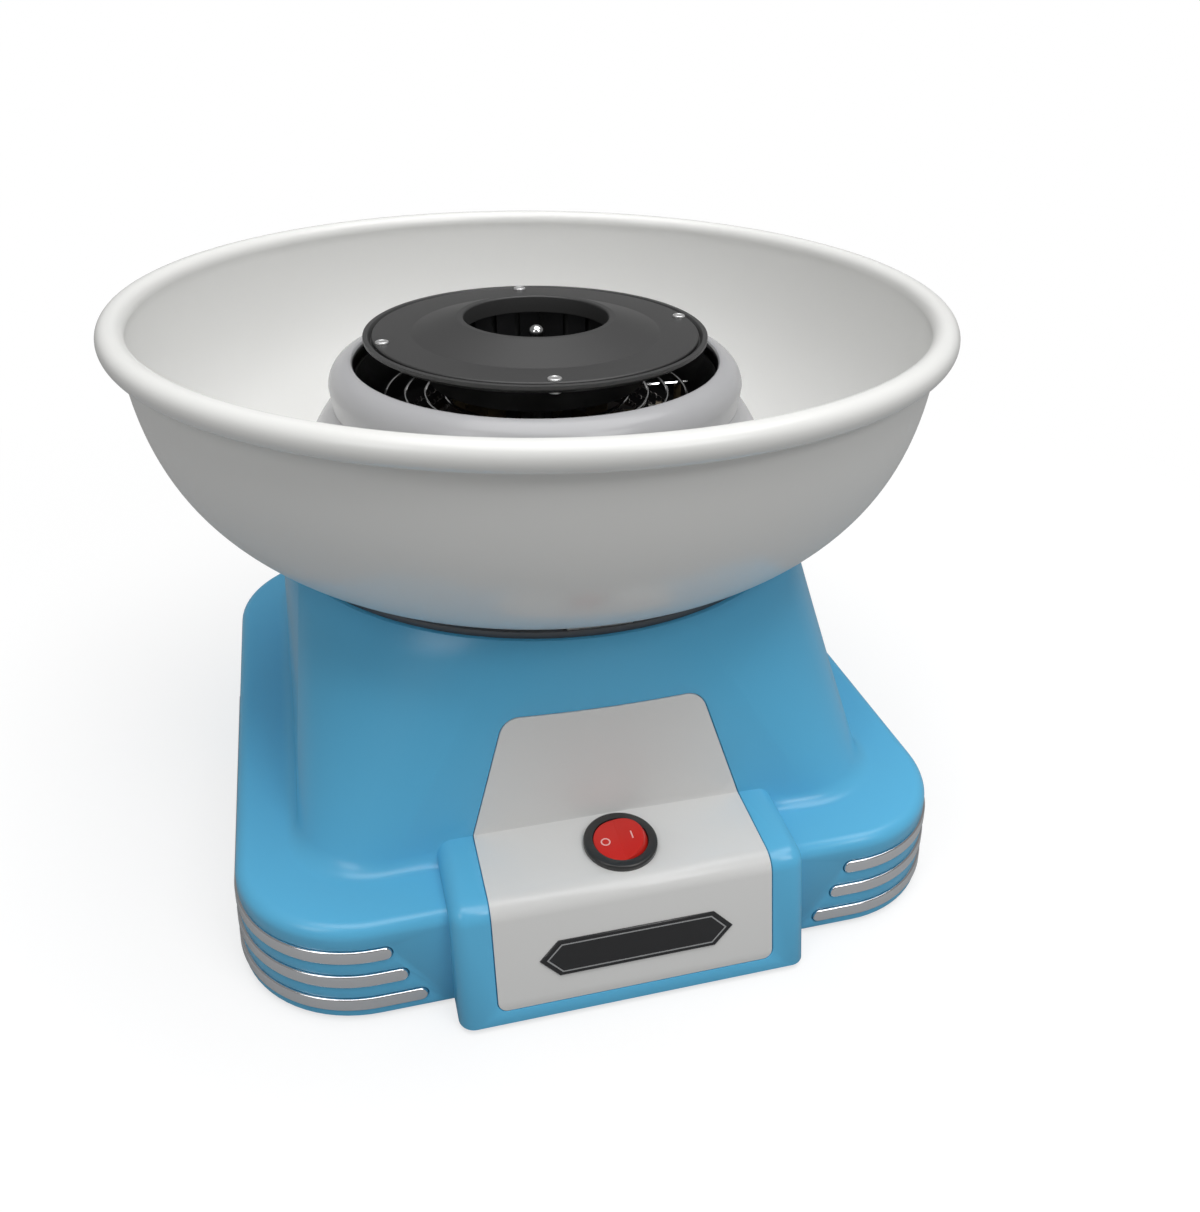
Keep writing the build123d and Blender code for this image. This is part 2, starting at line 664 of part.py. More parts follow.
def bottom_plate():
    edge = WALL + SEAT_GAP
    low, high = BOTTOM_PLATE_Z, BOTTOM_PLATE_TOP_Z
    plate = plinth(edge, z_low=low, z_high=high) + (console(edge) & slab(low, high))
    for place in BOSS_PLACES:
        plate -= disc(SCREW_RADIUS + SCREW_GAP, low - 1, high + 1, place)
        plate -= disc(SCREW_HEAD_RADIUS + SCREW_GAP, low - 1, low + SCREW_HEAD, place)
    for place in FOOT_PLACES:
        plate -= disc(FOOT_STEM_RADIUS + PRESS_GAP, low - 1, high + 1, place)
    for k in range(VENT_COUNT):
        x = VENT_PITCH * (k - (VENT_COUNT - 1) / 2)
        vent = extrude(Rot(0, 0, 90) * SlotOverall(VENT_LENGTH, VENT_WIDTH), amount=4 * high)
        plate -= Pos(x, 0, 0) * vent
    return plate


def rubber_feet():
    feet = []
    for place in FOOT_PLACES:
        pad = disc(FOOT_RADIUS, 0, BOTTOM_PLATE_Z, place)
        pad = fillet(pad.edges().sort_by(Axis.Z)[0], BOTTOM_PLATE_Z / 3)
        stem = disc(FOOT_STEM_RADIUS, BOTTOM_PLATE_Z - FOOT_LIFT / 4, BOTTOM_PLATE_Z + FOOT_STEM, place)
        feet.append(pad + stem)
    return Compound(children=feet)


def screw(place, head_z, up):
    """Screw with its head's outer face at head_z, pointing up or down."""
    turn = 1 if up else -1
    shank_end = head_z + turn * SCREW_LENGTH
    head_end = head_z + turn * SCREW_HEAD
    head = disc(SCREW_HEAD_RADIUS, min(head_z, head_end), max(head_z, head_end), place)
    shank = disc(SCREW_RADIUS, min(head_z, shank_end), max(head_z, shank_end), place)
    across = 2 * (SCREW_HEAD_RADIUS - CROSS_MARGIN)
    at_face = Pos(place[0], place[1], head_z)
    slot = at_face * Box(across, CROSS_WIDTH, 2 * CROSS_DEPTH)
    cross = at_face * Box(CROSS_WIDTH, across, 2 * CROSS_DEPTH)
    return head + shank - slot - cross


def screws(places, head_z, up):
    return Compound(children=[screw(place, head_z, up) for place in places])


def cord_gland():
    z = BASE_Z + GLAND_HEIGHT
    seat_y = rear_wall_y(z - GLAND_FLANGE_RADIUS)
    flange = along_y(GLAND_FLANGE_RADIUS, seat_y, seat_y + GLAND_FLANGE, z)
    flange = fillet(flange.edges().sort_by(Axis.Y)[-1], GLAND_FLANGE / 2)
    gland = flange + along_y(GLAND_RADIUS, seat_y - WALL - GLAND_INSIDE, seat_y + GLAND_FLANGE / 4, z)
    return gland - along_y(GLAND_BORE, seat_y - FAR / 4, seat_y + FAR / 4, z)


def gland_nut():
    z = BASE_Z + GLAND_HEIGHT
    wall_y = rear_wall_y(z + GLAND_NUT_RADIUS) - WALL / cos(radians(PLINTH_DRAFT_DEG)) - SCREW_GAP
    face = Plane.XZ * RegularPolygon(GLAND_NUT_RADIUS, 6)
    nut = Pos(0, wall_y, z) * extrude(face, amount=GLAND_NUT)
    return nut - along_y(GLAND_RADIUS + PRESS_GAP, wall_y - 2 * GLAND_NUT, wall_y + GLAND_NUT, z)


def deck():
    plate = disc(DECK_RADIUS, TOWER_TOP_Z, DECK_TOP_Z)
    for place in POST_PLACES:
        plate += disc(POST_RADIUS, POST_FOOT_Z, TOWER_TOP_Z, place)
        plate -= disc(SCREW_RADIUS + PRESS_GAP, POST_FOOT_Z - 1, POST_FOOT_Z + SCREW_LENGTH, place)
    plate -= disc(DECK_BORE, TOWER_TOP_Z - 1, DECK_TOP_Z + 1)
    for k in range(AIR_HOLES):
        place = polar(AIR_HOLE_CIRCLE, 360.0 * (k + 0.5) / AIR_HOLES)[:2]
        plate -= disc(AIR_HOLE_RADIUS, TOWER_TOP_Z - 1, DECK_TOP_Z + 1, place)
    for place in DECK_SCREWS:
        plate -= disc(SCREW_RADIUS + SCREW_GAP, TOWER_TOP_Z - 1, DECK_TOP_Z + 1, place)
        plate -= disc(SCREW_HEAD_RADIUS + SCREW_GAP, DECK_TOP_Z - SCREW_HEAD, DECK_TOP_Z + 1, place)
    for place in HOUSING_SCREWS + STANDOFF_PLACES:
        plate -= disc(SCREW_RADIUS + PRESS_GAP, TOWER_TOP_Z - 1, DECK_TOP_Z + 1, place)
    for k in range(LUG_COUNT):
        plate -= lug(k, DECK_TOP_Z - LUG_DEPTH - LUG_POCKET_GAP, DECK_TOP_Z + 1, LUG_POCKET_GAP)
    return plate


def lug(k, z_low, z_high, grow):
    """Arc-shaped seat lug of the bowl, or its pocket when grown."""
    band = annulus(LUG_OUTER + grow, LUG_INNER - grow, z_low, z_high)
    half_width = LUG_OUTER * sin(radians(LUG_ANGLE / 2)) + grow
    window = Pos(LUG_OUTER, 0, z_low) * Box(LUG_OUTER, 2 * half_width, 8 * OVERCUT)
    return band & (Rot(0, 0, 270.0 + 360.0 * k / LUG_COUNT) * window)


def ellipse_point(width, depth, angle):
    """Point of the bowl's side curve, from its foot at 0 degrees to its rim at 90.

    BOWL_CONE draws the lower part of the ellipse inwards, towards a cone.
    """
    share = sin(radians(angle))
    share -= BOWL_CONE * share * (1 - share) ** 2
    return (BOWL_CURVE_CENTRE + width * share, BOWL_CURVE_Z - depth * cos(radians(angle)))


def bowl():
    inner_width, inner_depth = BOWL_CURVE_WIDTH - BOWL_WALL, BOWL_DEPTH - BOWL_WALL
    turns = [15.0 * k for k in range(7)]
    outside = Spline(
        *[ellipse_point(BOWL_CURVE_WIDTH, BOWL_DEPTH, turn) for turn in turns],
        tangents=((1, BOWL_FOOT_SLOPE), (0, 1)),
    )
    inside = Spline(
        *[ellipse_point(inner_width, inner_depth, turn) for turn in turns],
        tangents=((1, BOWL_FOOT_SLOPE), (0, 1)),
    )
    rim_root = outside @ 1
    rim_top_z = BOWL_CURVE_Z + RIM_HEIGHT
    crease = (RIM_RADIUS - RIM_CREASE, BOWL_CURVE_Z)
    side = (RIM_RADIUS, BOWL_CURVE_Z + RIM_BULGE)
    top = ((RIM_RADIUS + RIM_INNER_RADIUS) / 2, rim_top_z)
    brow = (RIM_INNER_RADIUS + RIM_BROW_INSET, rim_top_z - RIM_BROW_DROP)
    low = (BOWL_HOLE_RADIUS, BOWL_FOOT_Z)
    high = (BOWL_HOLE_RADIUS, BOWL_FOOT_Z + BOWL_WALL)
    edges = [
        Line(low, outside @ 0),
        outside,
        Line(rim_root, crease),
        ThreePointArc(crease, side, top),
        ThreePointArc(top, brow, inside @ 1),
        inside,
        Line(inside @ 0, high),
        Line(high, low),
    ]
    dish = turned(edges)
    for k in range(LUG_COUNT):
        dish += lug(k, BOWL_FOOT_Z - LUG_DEPTH, BOWL_FOOT_Z + BOWL_WALL / 2, 0.0)
    return dish


def housing_side(inset):
    """The housing's side curve, from its foot to its top, moved inwards by inset."""
    height = RING_FOOT_Z - DECK_TOP_Z
    points = [(r - inset, DECK_TOP_Z + share * height) for r, share in HOUSING_PROFILE]
    top = (HOUSING_TOP_RADIUS - inset, RING_FOOT_Z)
    return Spline(points[0], points[1], points[2], top)


def heater_housing():
    outside, inside = housing_side(0), housing_side(HOUSING_WALL)
    foot_outer = (HOUSING_FOOT_RADIUS, DECK_TOP_Z)
    foot_inner = (HOUSING_FLANGE_RADIUS, DECK_TOP_Z)
    flange_top = DECK_TOP_Z + HOUSING_WALL
    inner_root = (HOUSING_FOOT_RADIUS - HOUSING_WALL, flange_top)
    edges = [
        Line(foot_inner, foot_outer),
        Line(foot_outer, outside @ 0),
        outside,
        Line(outside @ 1, inside @ 1),
        inside,
        Line(inside @ 0, inner_root),
        Line(inner_root, (HOUSING_FLANGE_RADIUS, flange_top)),
        Line((HOUSING_FLANGE_RADIUS, flange_top), foot_inner),
    ]
    dome = turned(edges)
    for place in HOUSING_SCREWS:
        dome -= disc(SCREW_RADIUS + SCREW_GAP, DECK_TOP_Z - 1, flange_top + 1, place)
    return dome


def wind_ring():
    wall = HOUSING_WALL
    foot = (HOUSING_TOP_RADIUS, RING_FOOT_Z)
    widest = (RING_WIDEST_RADIUS, BASE_Z + RING_WIDEST_HEIGHT)
    flank = (widest[0] - RING_FLANK_INSET, widest[1] - RING_FLANK_DROP)
    shoulder = (RING_SHOULDER[0], BASE_Z + RING_SHOULDER[1])
    lip = (RING_LIP_RADIUS, BASE_Z + RING_LIP_HEIGHT)
    spigot_outer = HOUSING_TOP_RADIUS - wall - RUNNING_GAP - PRESS_GAP
    spigot_inner = spigot_outer - wall / 2
    inner_widest = (widest[0] - wall, widest[1])
    inner_shoulder = (shoulder[0] - RING_CROWN_INSET, shoulder[1] - RING_CROWN_INSET)
    inner_lip = (RING_LIP_RADIUS, BASE_Z + RING_LIP_HEIGHT - wall)
    spigot_z = RING_FOOT_Z - RING_SPIGOT
    edges = [
        ThreePointArc(foot, flank, widest),
        ThreePointArc(widest, shoulder, lip),
        Line(lip, inner_lip),
        ThreePointArc(inner_lip, inner_shoulder, inner_widest),
        Line(inner_widest, (spigot_inner, RING_FOOT_Z)),
        Line((spigot_inner, RING_FOOT_Z), (spigot_inner, spigot_z)),
        Line((spigot_inner, spigot_z), (spigot_outer, spigot_z)),
        Line((spigot_outer, spigot_z), (spigot_outer, RING_FOOT_Z)),
        Line((spigot_outer, RING_FOOT_Z), foot),
    ]
    return turned(edges)


def heat_reflector():
    sheet = REFLECTOR_SHEET
    waist = (REFLECTOR_WAIST[0], BASE_Z + REFLECTOR_WAIST[1])
    top = (REFLECTOR_TOP[0], BASE_Z + REFLECTOR_TOP[1])
    pan = turned_polygon(
        (
            (REFLECTOR_BORE, REFLECTOR_Z),
            (REFLECTOR_FLOOR_RADIUS + sheet / 2, REFLECTOR_Z),
            (waist[0] + sheet, waist[1]),
            (top[0] + sheet, top[1]),
            top,
            waist,
            (REFLECTOR_FLOOR_RADIUS, REFLECTOR_TOP_Z),
            (REFLECTOR_BORE, REFLECTOR_TOP_Z),
        )
    )
    for place in STANDOFF_PLACES:
        pan -= disc(SCREW_RADIUS + SCREW_GAP, REFLECTOR_Z - 1, REFLECTOR_TOP_Z + 1, place)
    return pan


def ceramic_standoffs():
    posts = [
        annulus(STANDOFF_RADIUS, STANDOFF_BORE, DECK_TOP_Z, REFLECTOR_Z, place)
        for place in STANDOFF_PLACES
    ]
    return Compound(children=posts)


def mica_boards():
    outline = Polygon(
        (BOARD_INNER, REFLECTOR_TOP_Z),
        (BOARD_FOOT_OUTER, REFLECTOR_TOP_Z),
        (BOARD_OUTER, BASE_Z + BOARD_SHOULDER_HEIGHT),
        (BOARD_OUTER, BASE_Z + BOARD_TOP_HEIGHT),
        (BOARD_SADDLE_OUTER, BASE_Z + BOARD_TOP_HEIGHT),
        (BOARD_SADDLE_OUTER, BASE_Z + BOARD_SADDLE_HEIGHT),
        (BOARD_SADDLE_INNER, BASE_Z + BOARD_SADDLE_HEIGHT),
        (BOARD_SADDLE_INNER, BASE_Z + BOARD_TOP_HEIGHT),
        (BOARD_INNER, BASE_Z + BOARD_TOP_HEIGHT),
        align=None,
    )
    board = extrude(Plane.XZ * outline, amount=BOARD_SHEET / 2, both=True)
    return Compound(children=[Rot(0, 0, 360.0 * k / BOARDS) * board for k in range(BOARDS)])


def heating_wire():
    """Flat spiral of half turns, lying in the saddles of the mica boards."""
    z = BASE_Z + BOARD_SADDLE_HEIGHT + COIL_WIRE
    start, radius, side = COIL_OUTER, COIL_OUTER, 1
    edges = []
    for _ in range(COIL_HALF_TURNS):
        end = -side * (radius - COIL_PITCH / 2)
        middle, reach = (start + end) / 2, abs(start - end) / 2
        edges.append(ThreePointArc((start, 0, z), (middle, side * reach, z), (end, 0, z)))
        start, radius, side = end, radius - COIL_PITCH / 2, -side
    path = Wire(edges)
    print("heating wire: least gap between turns", COIL_PITCH - 2 * COIL_WIRE)
    return sweep(Plane(origin=path @ 0, z_dir=path % 0) * Circle(COIL_WIRE), path=path)


def wire_guard():
    z = BASE_Z + GUARD_HEIGHT
    guard = Pos(0, 0, z) * Torus(GUARD_RADII[0], GUARD_WIRE)
    for radius in GUARD_RADII[1:]:
        guard += Pos(0, 0, z) * Torus(radius, GUARD_WIRE)
    length = GUARD_STRUT_REACH - GUARD_RADII[0] + 1.0
    for k in range(GUARD_STRUTS):
        strut = Pos(GUARD_STRUT_REACH - length / 2, 0, z - GUARD_STRUT_DROP) * Rot(0, 90, 0)
        guard += Rot(0, 0, 360.0 * k / GUARD_STRUTS) * strut * Cylinder(GUARD_WIRE, length)
    return guard


def lead_span():
    """Inner and outer radius of a heater lead, clear of the guard's wall and the coil."""
    waist, top = REFLECTOR_WAIST, REFLECTOR_TOP
    share = (LEAD_HEIGHT - LEAD_RADIUS - waist[1]) / (top[1] - waist[1])
    return BOARD_SADDLE_INNER + LEAD_INSET, waist[0] + share * (top[0] - waist[0]) - SEAT_GAP


def heater_leads():
    inner, outer = lead_span()
    leads = []
    for angle in LEAD_ANGLES:
        tube = Pos((inner + outer) / 2, 0, BASE_Z + LEAD_HEIGHT) * Rot(0, 90, 0)
        leads.append(Rot(0, 0, angle) * tube * Cylinder(LEAD_RADIUS, outer - inner))
    return Compound(children=leads)


def ceramic_beads():
    inner, outer = lead_span()
    beads = []
    for angle in LEAD_ANGLES:
        place = Rot(0, 0, angle) * Pos(inner + BEAD_LENGTH, 0, BASE_Z + LEAD_HEIGHT) * Rot(0, 90, 0)
        bead = Cylinder(BEAD_RADIUS, BEAD_LENGTH) - Cylinder(LEAD_RADIUS + PRESS_GAP, 2 * BEAD_LENGTH)
        beads.append(place * bead)
    return Compound(children=beads)


def thermal_fuse():
    turn = Rot(0, 0, FUSE_SECTOR_DEG + 180.0 / BOARDS)
    place = turn * Pos(FUSE_CIRCLE, 0, REFLECTOR_TOP_Z + FUSE_RADIUS)
    can = Cylinder(FUSE_RADIUS, FUSE_LENGTH) + Cylinder(FUSE_LEAD_RADIUS, FUSE_LENGTH + 2 * FUSE_LEAD)
    return place * Rot(90, 0, 0) * can


def motor_bracket():
    plate = annulus(BRACKET_RADIUS, BRACKET_BORE, BRACKET_Z, BRACKET_Z + BRACKET_SHEET)
    for place in POST_PLACES:
        plate -= disc(SCREW_RADIUS + SCREW_GAP, BRACKET_Z - 1, BRACKET_Z + BRACKET_SHEET + 1, place)
    for place in can_screw_places():
        plate -= disc(SCREW_RADIUS + SCREW_GAP, BRACKET_Z - 1, BRACKET_Z + BRACKET_SHEET + 1, place)
    return plate


def can_screw_places():
    spread = BUSH_RADIUS + POCKET_WALL + CAN_SCREW_INSET
    return [(-spread, 0.0), (spread, 0.0)]


def bracket_grommets():
    low = BRACKET_Z + BRACKET_SHEET
    bore = SCREW_RADIUS + SCREW_GAP
    pads = [annulus(GROMMET_RADIUS, bore, low, POST_FOOT_Z, place) for place in POST_PLACES]
    return Compound(children=pads)


def motor_can():
    can = disc(CAN_RADIUS, CAN_FOOT_Z, CAN_TOP_Z)
    can = fillet(can.edges().sort_by(Axis.Z)[-1], CAN_WALL)
    can -= disc(CAN_RADIUS - CAN_WALL, CAN_FOOT_Z - 1, CAN_TOP_Z - CAN_WALL)
    pocket_foot = CAN_TOP_Z - CAN_WALL - BUSH_LENGTH
    can += disc(BUSH_RADIUS + POCKET_WALL, pocket_foot, CAN_TOP_Z - CAN_WALL / 2)
    can -= disc(BUSH_RADIUS + PRESS_GAP, pocket_foot - 1, CAN_TOP_Z - CAN_WALL)
    can -= disc(SHAFT_RADIUS + SHAFT_CLEARANCE, pocket_foot, CAN_TOP_Z + 1)
    for place in can_screw_places():
        can -= disc(SCREW_RADIUS + PRESS_GAP, CAN_TOP_Z - 2 * CAN_WALL, CAN_TOP_Z + 1, place)
    return can


def can_screws():
    length = CAN_WALL + BRACKET_SHEET
    top = BRACKET_Z + BRACKET_SHEET
    parts = []
    for place in can_screw_places():
        head = disc(SCREW_HEAD_RADIUS, top, top + SCREW_HEAD, place)
        parts.append(head + disc(SCREW_RADIUS, top - length, top, place))
    return Compound(children=parts)


def upper_bush():
    top = CAN_TOP_Z - CAN_WALL
    return annulus(BUSH_RADIUS, SHAFT_RADIUS + RUNNING_GAP, top - BUSH_LENGTH, top)


def lower_bush():
    low = CAN_FOOT_Z - END_CAP + POCKET_WALL
    return annulus(BUSH_RADIUS, SHAFT_RADIUS + RUNNING_GAP, low, low + BUSH_LENGTH)


def motor_end_cap():
    foot = CAN_FOOT_Z - END_CAP
    cap = disc(CAN_RADIUS, foot, CAN_FOOT_Z)
    spigot_outer, spigot_inner = CAN_RADIUS - CAN_WALL - RUNNING_GAP, CAN_RADIUS - 2 * CAN_WALL
    cap += annulus(spigot_outer, spigot_inner, CAN_FOOT_Z - JOIN / 2, CAN_FOOT_Z + END_CAP_SPIGOT)
    low = foot + POCKET_WALL
    cap += disc(BUSH_RADIUS + POCKET_WALL, foot, low + BUSH_LENGTH)
    cap -= disc(BUSH_RADIUS + PRESS_GAP, low, low + 2 * BUSH_LENGTH)
    cap -= disc(SHAFT_RADIUS + SHAFT_CLEARANCE, foot - 1, low + 1)
    middle = COMMUTATOR_Z + COMMUTATOR_LENGTH / 2
    drop = middle - BRUSH_SIZE[2] / 2 - BRUSH_WALL - foot
    slot_middle = (COMMUTATOR_RADIUS + BRUSH_SLOT_END) / 2
    slot_length = BRUSH_SLOT_END - COMMUTATOR_RADIUS
    slot = Box(slot_length, BRUSH_SIZE[1] + SCREW_GAP, BRUSH_SIZE[2] + SCREW_GAP)
    for side in (-1, 1):
        cap += brush_block(side, BRUSH_WALL, drop)
        cap -= Pos(side * slot_middle, 0, middle) * slot
    return cap


def brush_block(side, wall, drop):
    """Brush holder that stands on the end cap."""
    length, width, height = BRUSH_SIZE
    x = side * (COMMUTATOR_RADIUS + BRUSH_HOLDER_INSET + length / 2)
    z = COMMUTATOR_Z + COMMUTATOR_LENGTH / 2
    block = Box(length, width + 2 * wall, height + 2 * wall + drop)
    return Pos(x, 0, z - drop / 2) * block


def brushes():
    length = BRUSH_SIZE[0]
    z = COMMUTATOR_Z + COMMUTATOR_LENGTH / 2
    x = COMMUTATOR_RADIUS + SEAT_GAP + length / 2
    return Compound(children=[Pos(side * x, 0, z) * Box(*BRUSH_SIZE) for side in (-1, 1)])


def magnets():
    outer = CAN_RADIUS - CAN_WALL - PRESS_GAP
    top = CAN_TOP_Z - MAGNET_DROP
    ring = annulus(outer, outer - MAGNET_THICKNESS, top - MAGNET_LENGTH, top)
    half_gap = radians((180.0 - MAGNET_SPAN_DEG) / 2)
    parts = []
    for side in (-1, 1):
        near, far = outer * 2 * cos(half_gap), outer * 2 * sin(half_gap)
        wedge = Polygon((0, 0), (near, far), (near, 3 * near), (-near, 3 * near), (-near, far), align=None)
        cutter = Pos(0, 0, top - 2 * MAGNET_LENGTH) * extrude(wedge, amount=3 * MAGNET_LENGTH)
        parts.append(ring & (Rot(0, 0, 90.0 - side * 90.0) * cutter))
    return Compound(children=parts)


def motor_shaft():
    foot = CAN_FOOT_Z - END_CAP + POCKET_WALL
    tip = BASE_Z + SHAFT_TIP_HEIGHT
    shaft = disc(SHAFT_RADIUS, foot, tip - SHAFT_RADIUS)
    shaft += Pos(0, 0, tip - SHAFT_RADIUS) * Sphere(SHAFT_RADIUS)
    return shaft - Pos(0, 0, PIN_Z) * Rot(0, 90, 0) * Cylinder(PIN_RADIUS + PRESS_GAP, 4 * SHAFT_RADIUS)


def cross_pin():
    return Pos(0, 0, PIN_Z) * Rot(0, 90, 0) * Cylinder(PIN_RADIUS, PIN_LENGTH)


def rotor_core():
    core = annulus(CORE_RADIUS, SHAFT_RADIUS + PRESS_GAP, CORE_FOOT_Z, CORE_TOP_Z)
    middle = (CORE_FOOT_Z + CORE_TOP_Z) / 2
    for k in range(CORE_SLOTS):
        slot = Box(CORE_SLOT_DEPTH * 2, CORE_SLOT_WIDTH, CORE_LENGTH + 2)
        core -= Rot(0, 0, 360.0 * k / CORE_SLOTS) * Pos(CORE_RADIUS, 0, middle) * slot
    return core


def rotor_winding():
    top = annulus(WINDING_RADIUS, WINDING_INNER, CORE_TOP_Z, CORE_TOP_Z + WINDING_HEIGHT)
    low = annulus(WINDING_RADIUS, WINDING_INNER, CORE_FOOT_Z - WINDING_HEIGHT, CORE_FOOT_Z)
    top = fillet(top.edges().sort_by(Axis.Z)[-2:], WINDING_HEIGHT / 3)
    low = fillet(low.edges().sort_by(Axis.Z)[:2], WINDING_HEIGHT / 3)
    return Compound(children=[top, low])


def commutator():
    top = COMMUTATOR_Z + COMMUTATOR_LENGTH
    return annulus(COMMUTATOR_RADIUS, SHAFT_RADIUS + PRESS_GAP, COMMUTATOR_Z, top)


def cooling_fan():
    hub = annulus(FAN_HUB_RADIUS, SHAFT_RADIUS + PRESS_GAP, FAN_Z, FAN_Z + FAN_HEIGHT)
    reach = FAN_RADIUS - FAN_HUB_RADIUS + FAN_ROOT
    middle = FAN_Z + FAN_HEIGHT / 2
    for k in range(FAN_BLADES):
        blade = Rot(FAN_BLADE_DEG, 0, 0) * Box(reach, FAN_HEIGHT, FAN_BLADE_SHEET)
        place = Pos(FAN_RADIUS - reach / 2, 0, middle)
        hub += Rot(0, 0, 360.0 * k / FAN_BLADES) * place * blade
    return hub


def head_pan():
    """Lower half of the spinner head: hub, sugar cup and flange."""
    sheet = HEAD_SHEET
    lip_top = FLANGE_TOP_Z + FLANGE_LIP
    pan = turned_polygon(
        (
            (HUB_RADIUS - JOIN, CUP_FLOOR_Z),
            (CUP_RADIUS, CUP_FLOOR_Z),
            (CUP_RADIUS, FLANGE_Z),
            (FLANGE_RADIUS - FLANGE_BEVEL, FLANGE_Z),
            (FLANGE_RADIUS, lip_top - sheet),
            (FLANGE_RADIUS, lip_top),
            (FLANGE_RADIUS - FLANGE_LIP_WIDTH, lip_top),
            (FLANGE_RADIUS - FLANGE_LIP_WIDTH - FLANGE_LIP_ROOT, FLANGE_TOP_Z),
            (CUP_RADIUS - sheet, FLANGE_TOP_Z),
            (CUP_RADIUS - sheet, CUP_INSIDE_Z),
            (HUB_RADIUS - JOIN, CUP_INSIDE_Z),
        )
    )
    pan += disc(HUB_RADIUS, BASE_Z + HUB_TOP_HEIGHT - HUB_SLEEVE, BASE_Z + HUB_TOP_HEIGHT)
    pan += disc(HUB_RADIUS + HUB_FLARE, BASE_Z + HUB_FOOT_HEIGHT, CUP_FLOOR_Z + sheet / 2)
    pan -= disc(SHAFT_RADIUS + HUB_GAP, 0, FAR)
    slot_top = PIN_Z + PIN_RADIUS + SCREW_GAP
    slot_foot = BASE_Z + HUB_FOOT_HEIGHT - JOIN
    slot = Box(4 * HUB_RADIUS, 2 * (PIN_RADIUS + SCREW_GAP), slot_top - slot_foot)
    pan -= Pos(0, 0, (slot_top + slot_foot) / 2) * slot
    for angle in RIVET_ANGLES:
        place = polar(RIVET_CIRCLE, angle)[:2]
        pan -= disc(RIVET_SHANK + PRESS_GAP, FLANGE_Z - 1, FLANGE_TOP_Z + 1, place)
    return pan


def head_plate():
    """Upper half of the spinner head, with the funnel collar that the sugar goes into."""
    collar_z = BASE_Z + COLLAR_HEIGHT
    plate = turned_polygon(
        (
            (COLLAR_HOLE, HEAD_PLATE_Z),
            (HEAD_RADIUS, HEAD_PLATE_Z),
            (HEAD_RADIUS, HEAD_TOP_Z),
            (COLLAR_FOOT_RADIUS, HEAD_TOP_Z),
            (COLLAR_RADIUS, collar_z),
            (COLLAR_HOLE, collar_z),
        )
    )
    for angle in RIVET_ANGLES:
        place = polar(RIVET_CIRCLE, angle)[:2]
        plate -= disc(RIVET_SHANK + PRESS_GAP, HEAD_PLATE_Z - 1, HEAD_TOP_Z + 1, place)
    return plate


def head_rivets():
    rivets = []
    for angle in RIVET_ANGLES:
        place = polar(RIVET_CIRCLE, angle)[:2]
        head = disc(RIVET_HEAD, HEAD_TOP_Z, HEAD_TOP_Z + RIVET_HEAD_HEIGHT, place)
        head = fillet(head.edges().sort_by(Axis.Z)[-1], RIVET_HEAD_HEIGHT / 2)
        shank = disc(RIVET_SHANK, FLANGE_Z - RIVET_HEAD_HEIGHT, HEAD_TOP_Z + RIVET_HEAD_HEIGHT / 2, place)
        spacer = disc(RIVET_SPACER, FLANGE_TOP_Z, HEAD_PLATE_Z, place)
        foot = disc(RIVET_SPACER, FLANGE_Z - RIVET_HEAD_HEIGHT, FLANGE_Z, place)
        rivets.append(head + shank + spacer + foot)
    return Compound(children=rivets)


def sugar_screen():
    top = FLANGE_TOP_Z + SEAT_GAP
    band = annulus(SCREEN_RADIUS, SCREEN_RADIUS - SCREEN_SHEET, CUP_INSIDE_Z, top)
    height = top - CUP_INSIDE_Z - 2 * SCREEN_BAND
    for k in range(SCREEN_SLOTS):
        slot = Pos(SCREEN_RADIUS, 0, (top + CUP_INSIDE_Z) / 2) * Box(OVERCUT, SCREEN_SLOT_WIDTH, height)
        band -= Rot(0, 0, 360.0 * k / SCREEN_SLOTS) * slot
    return band


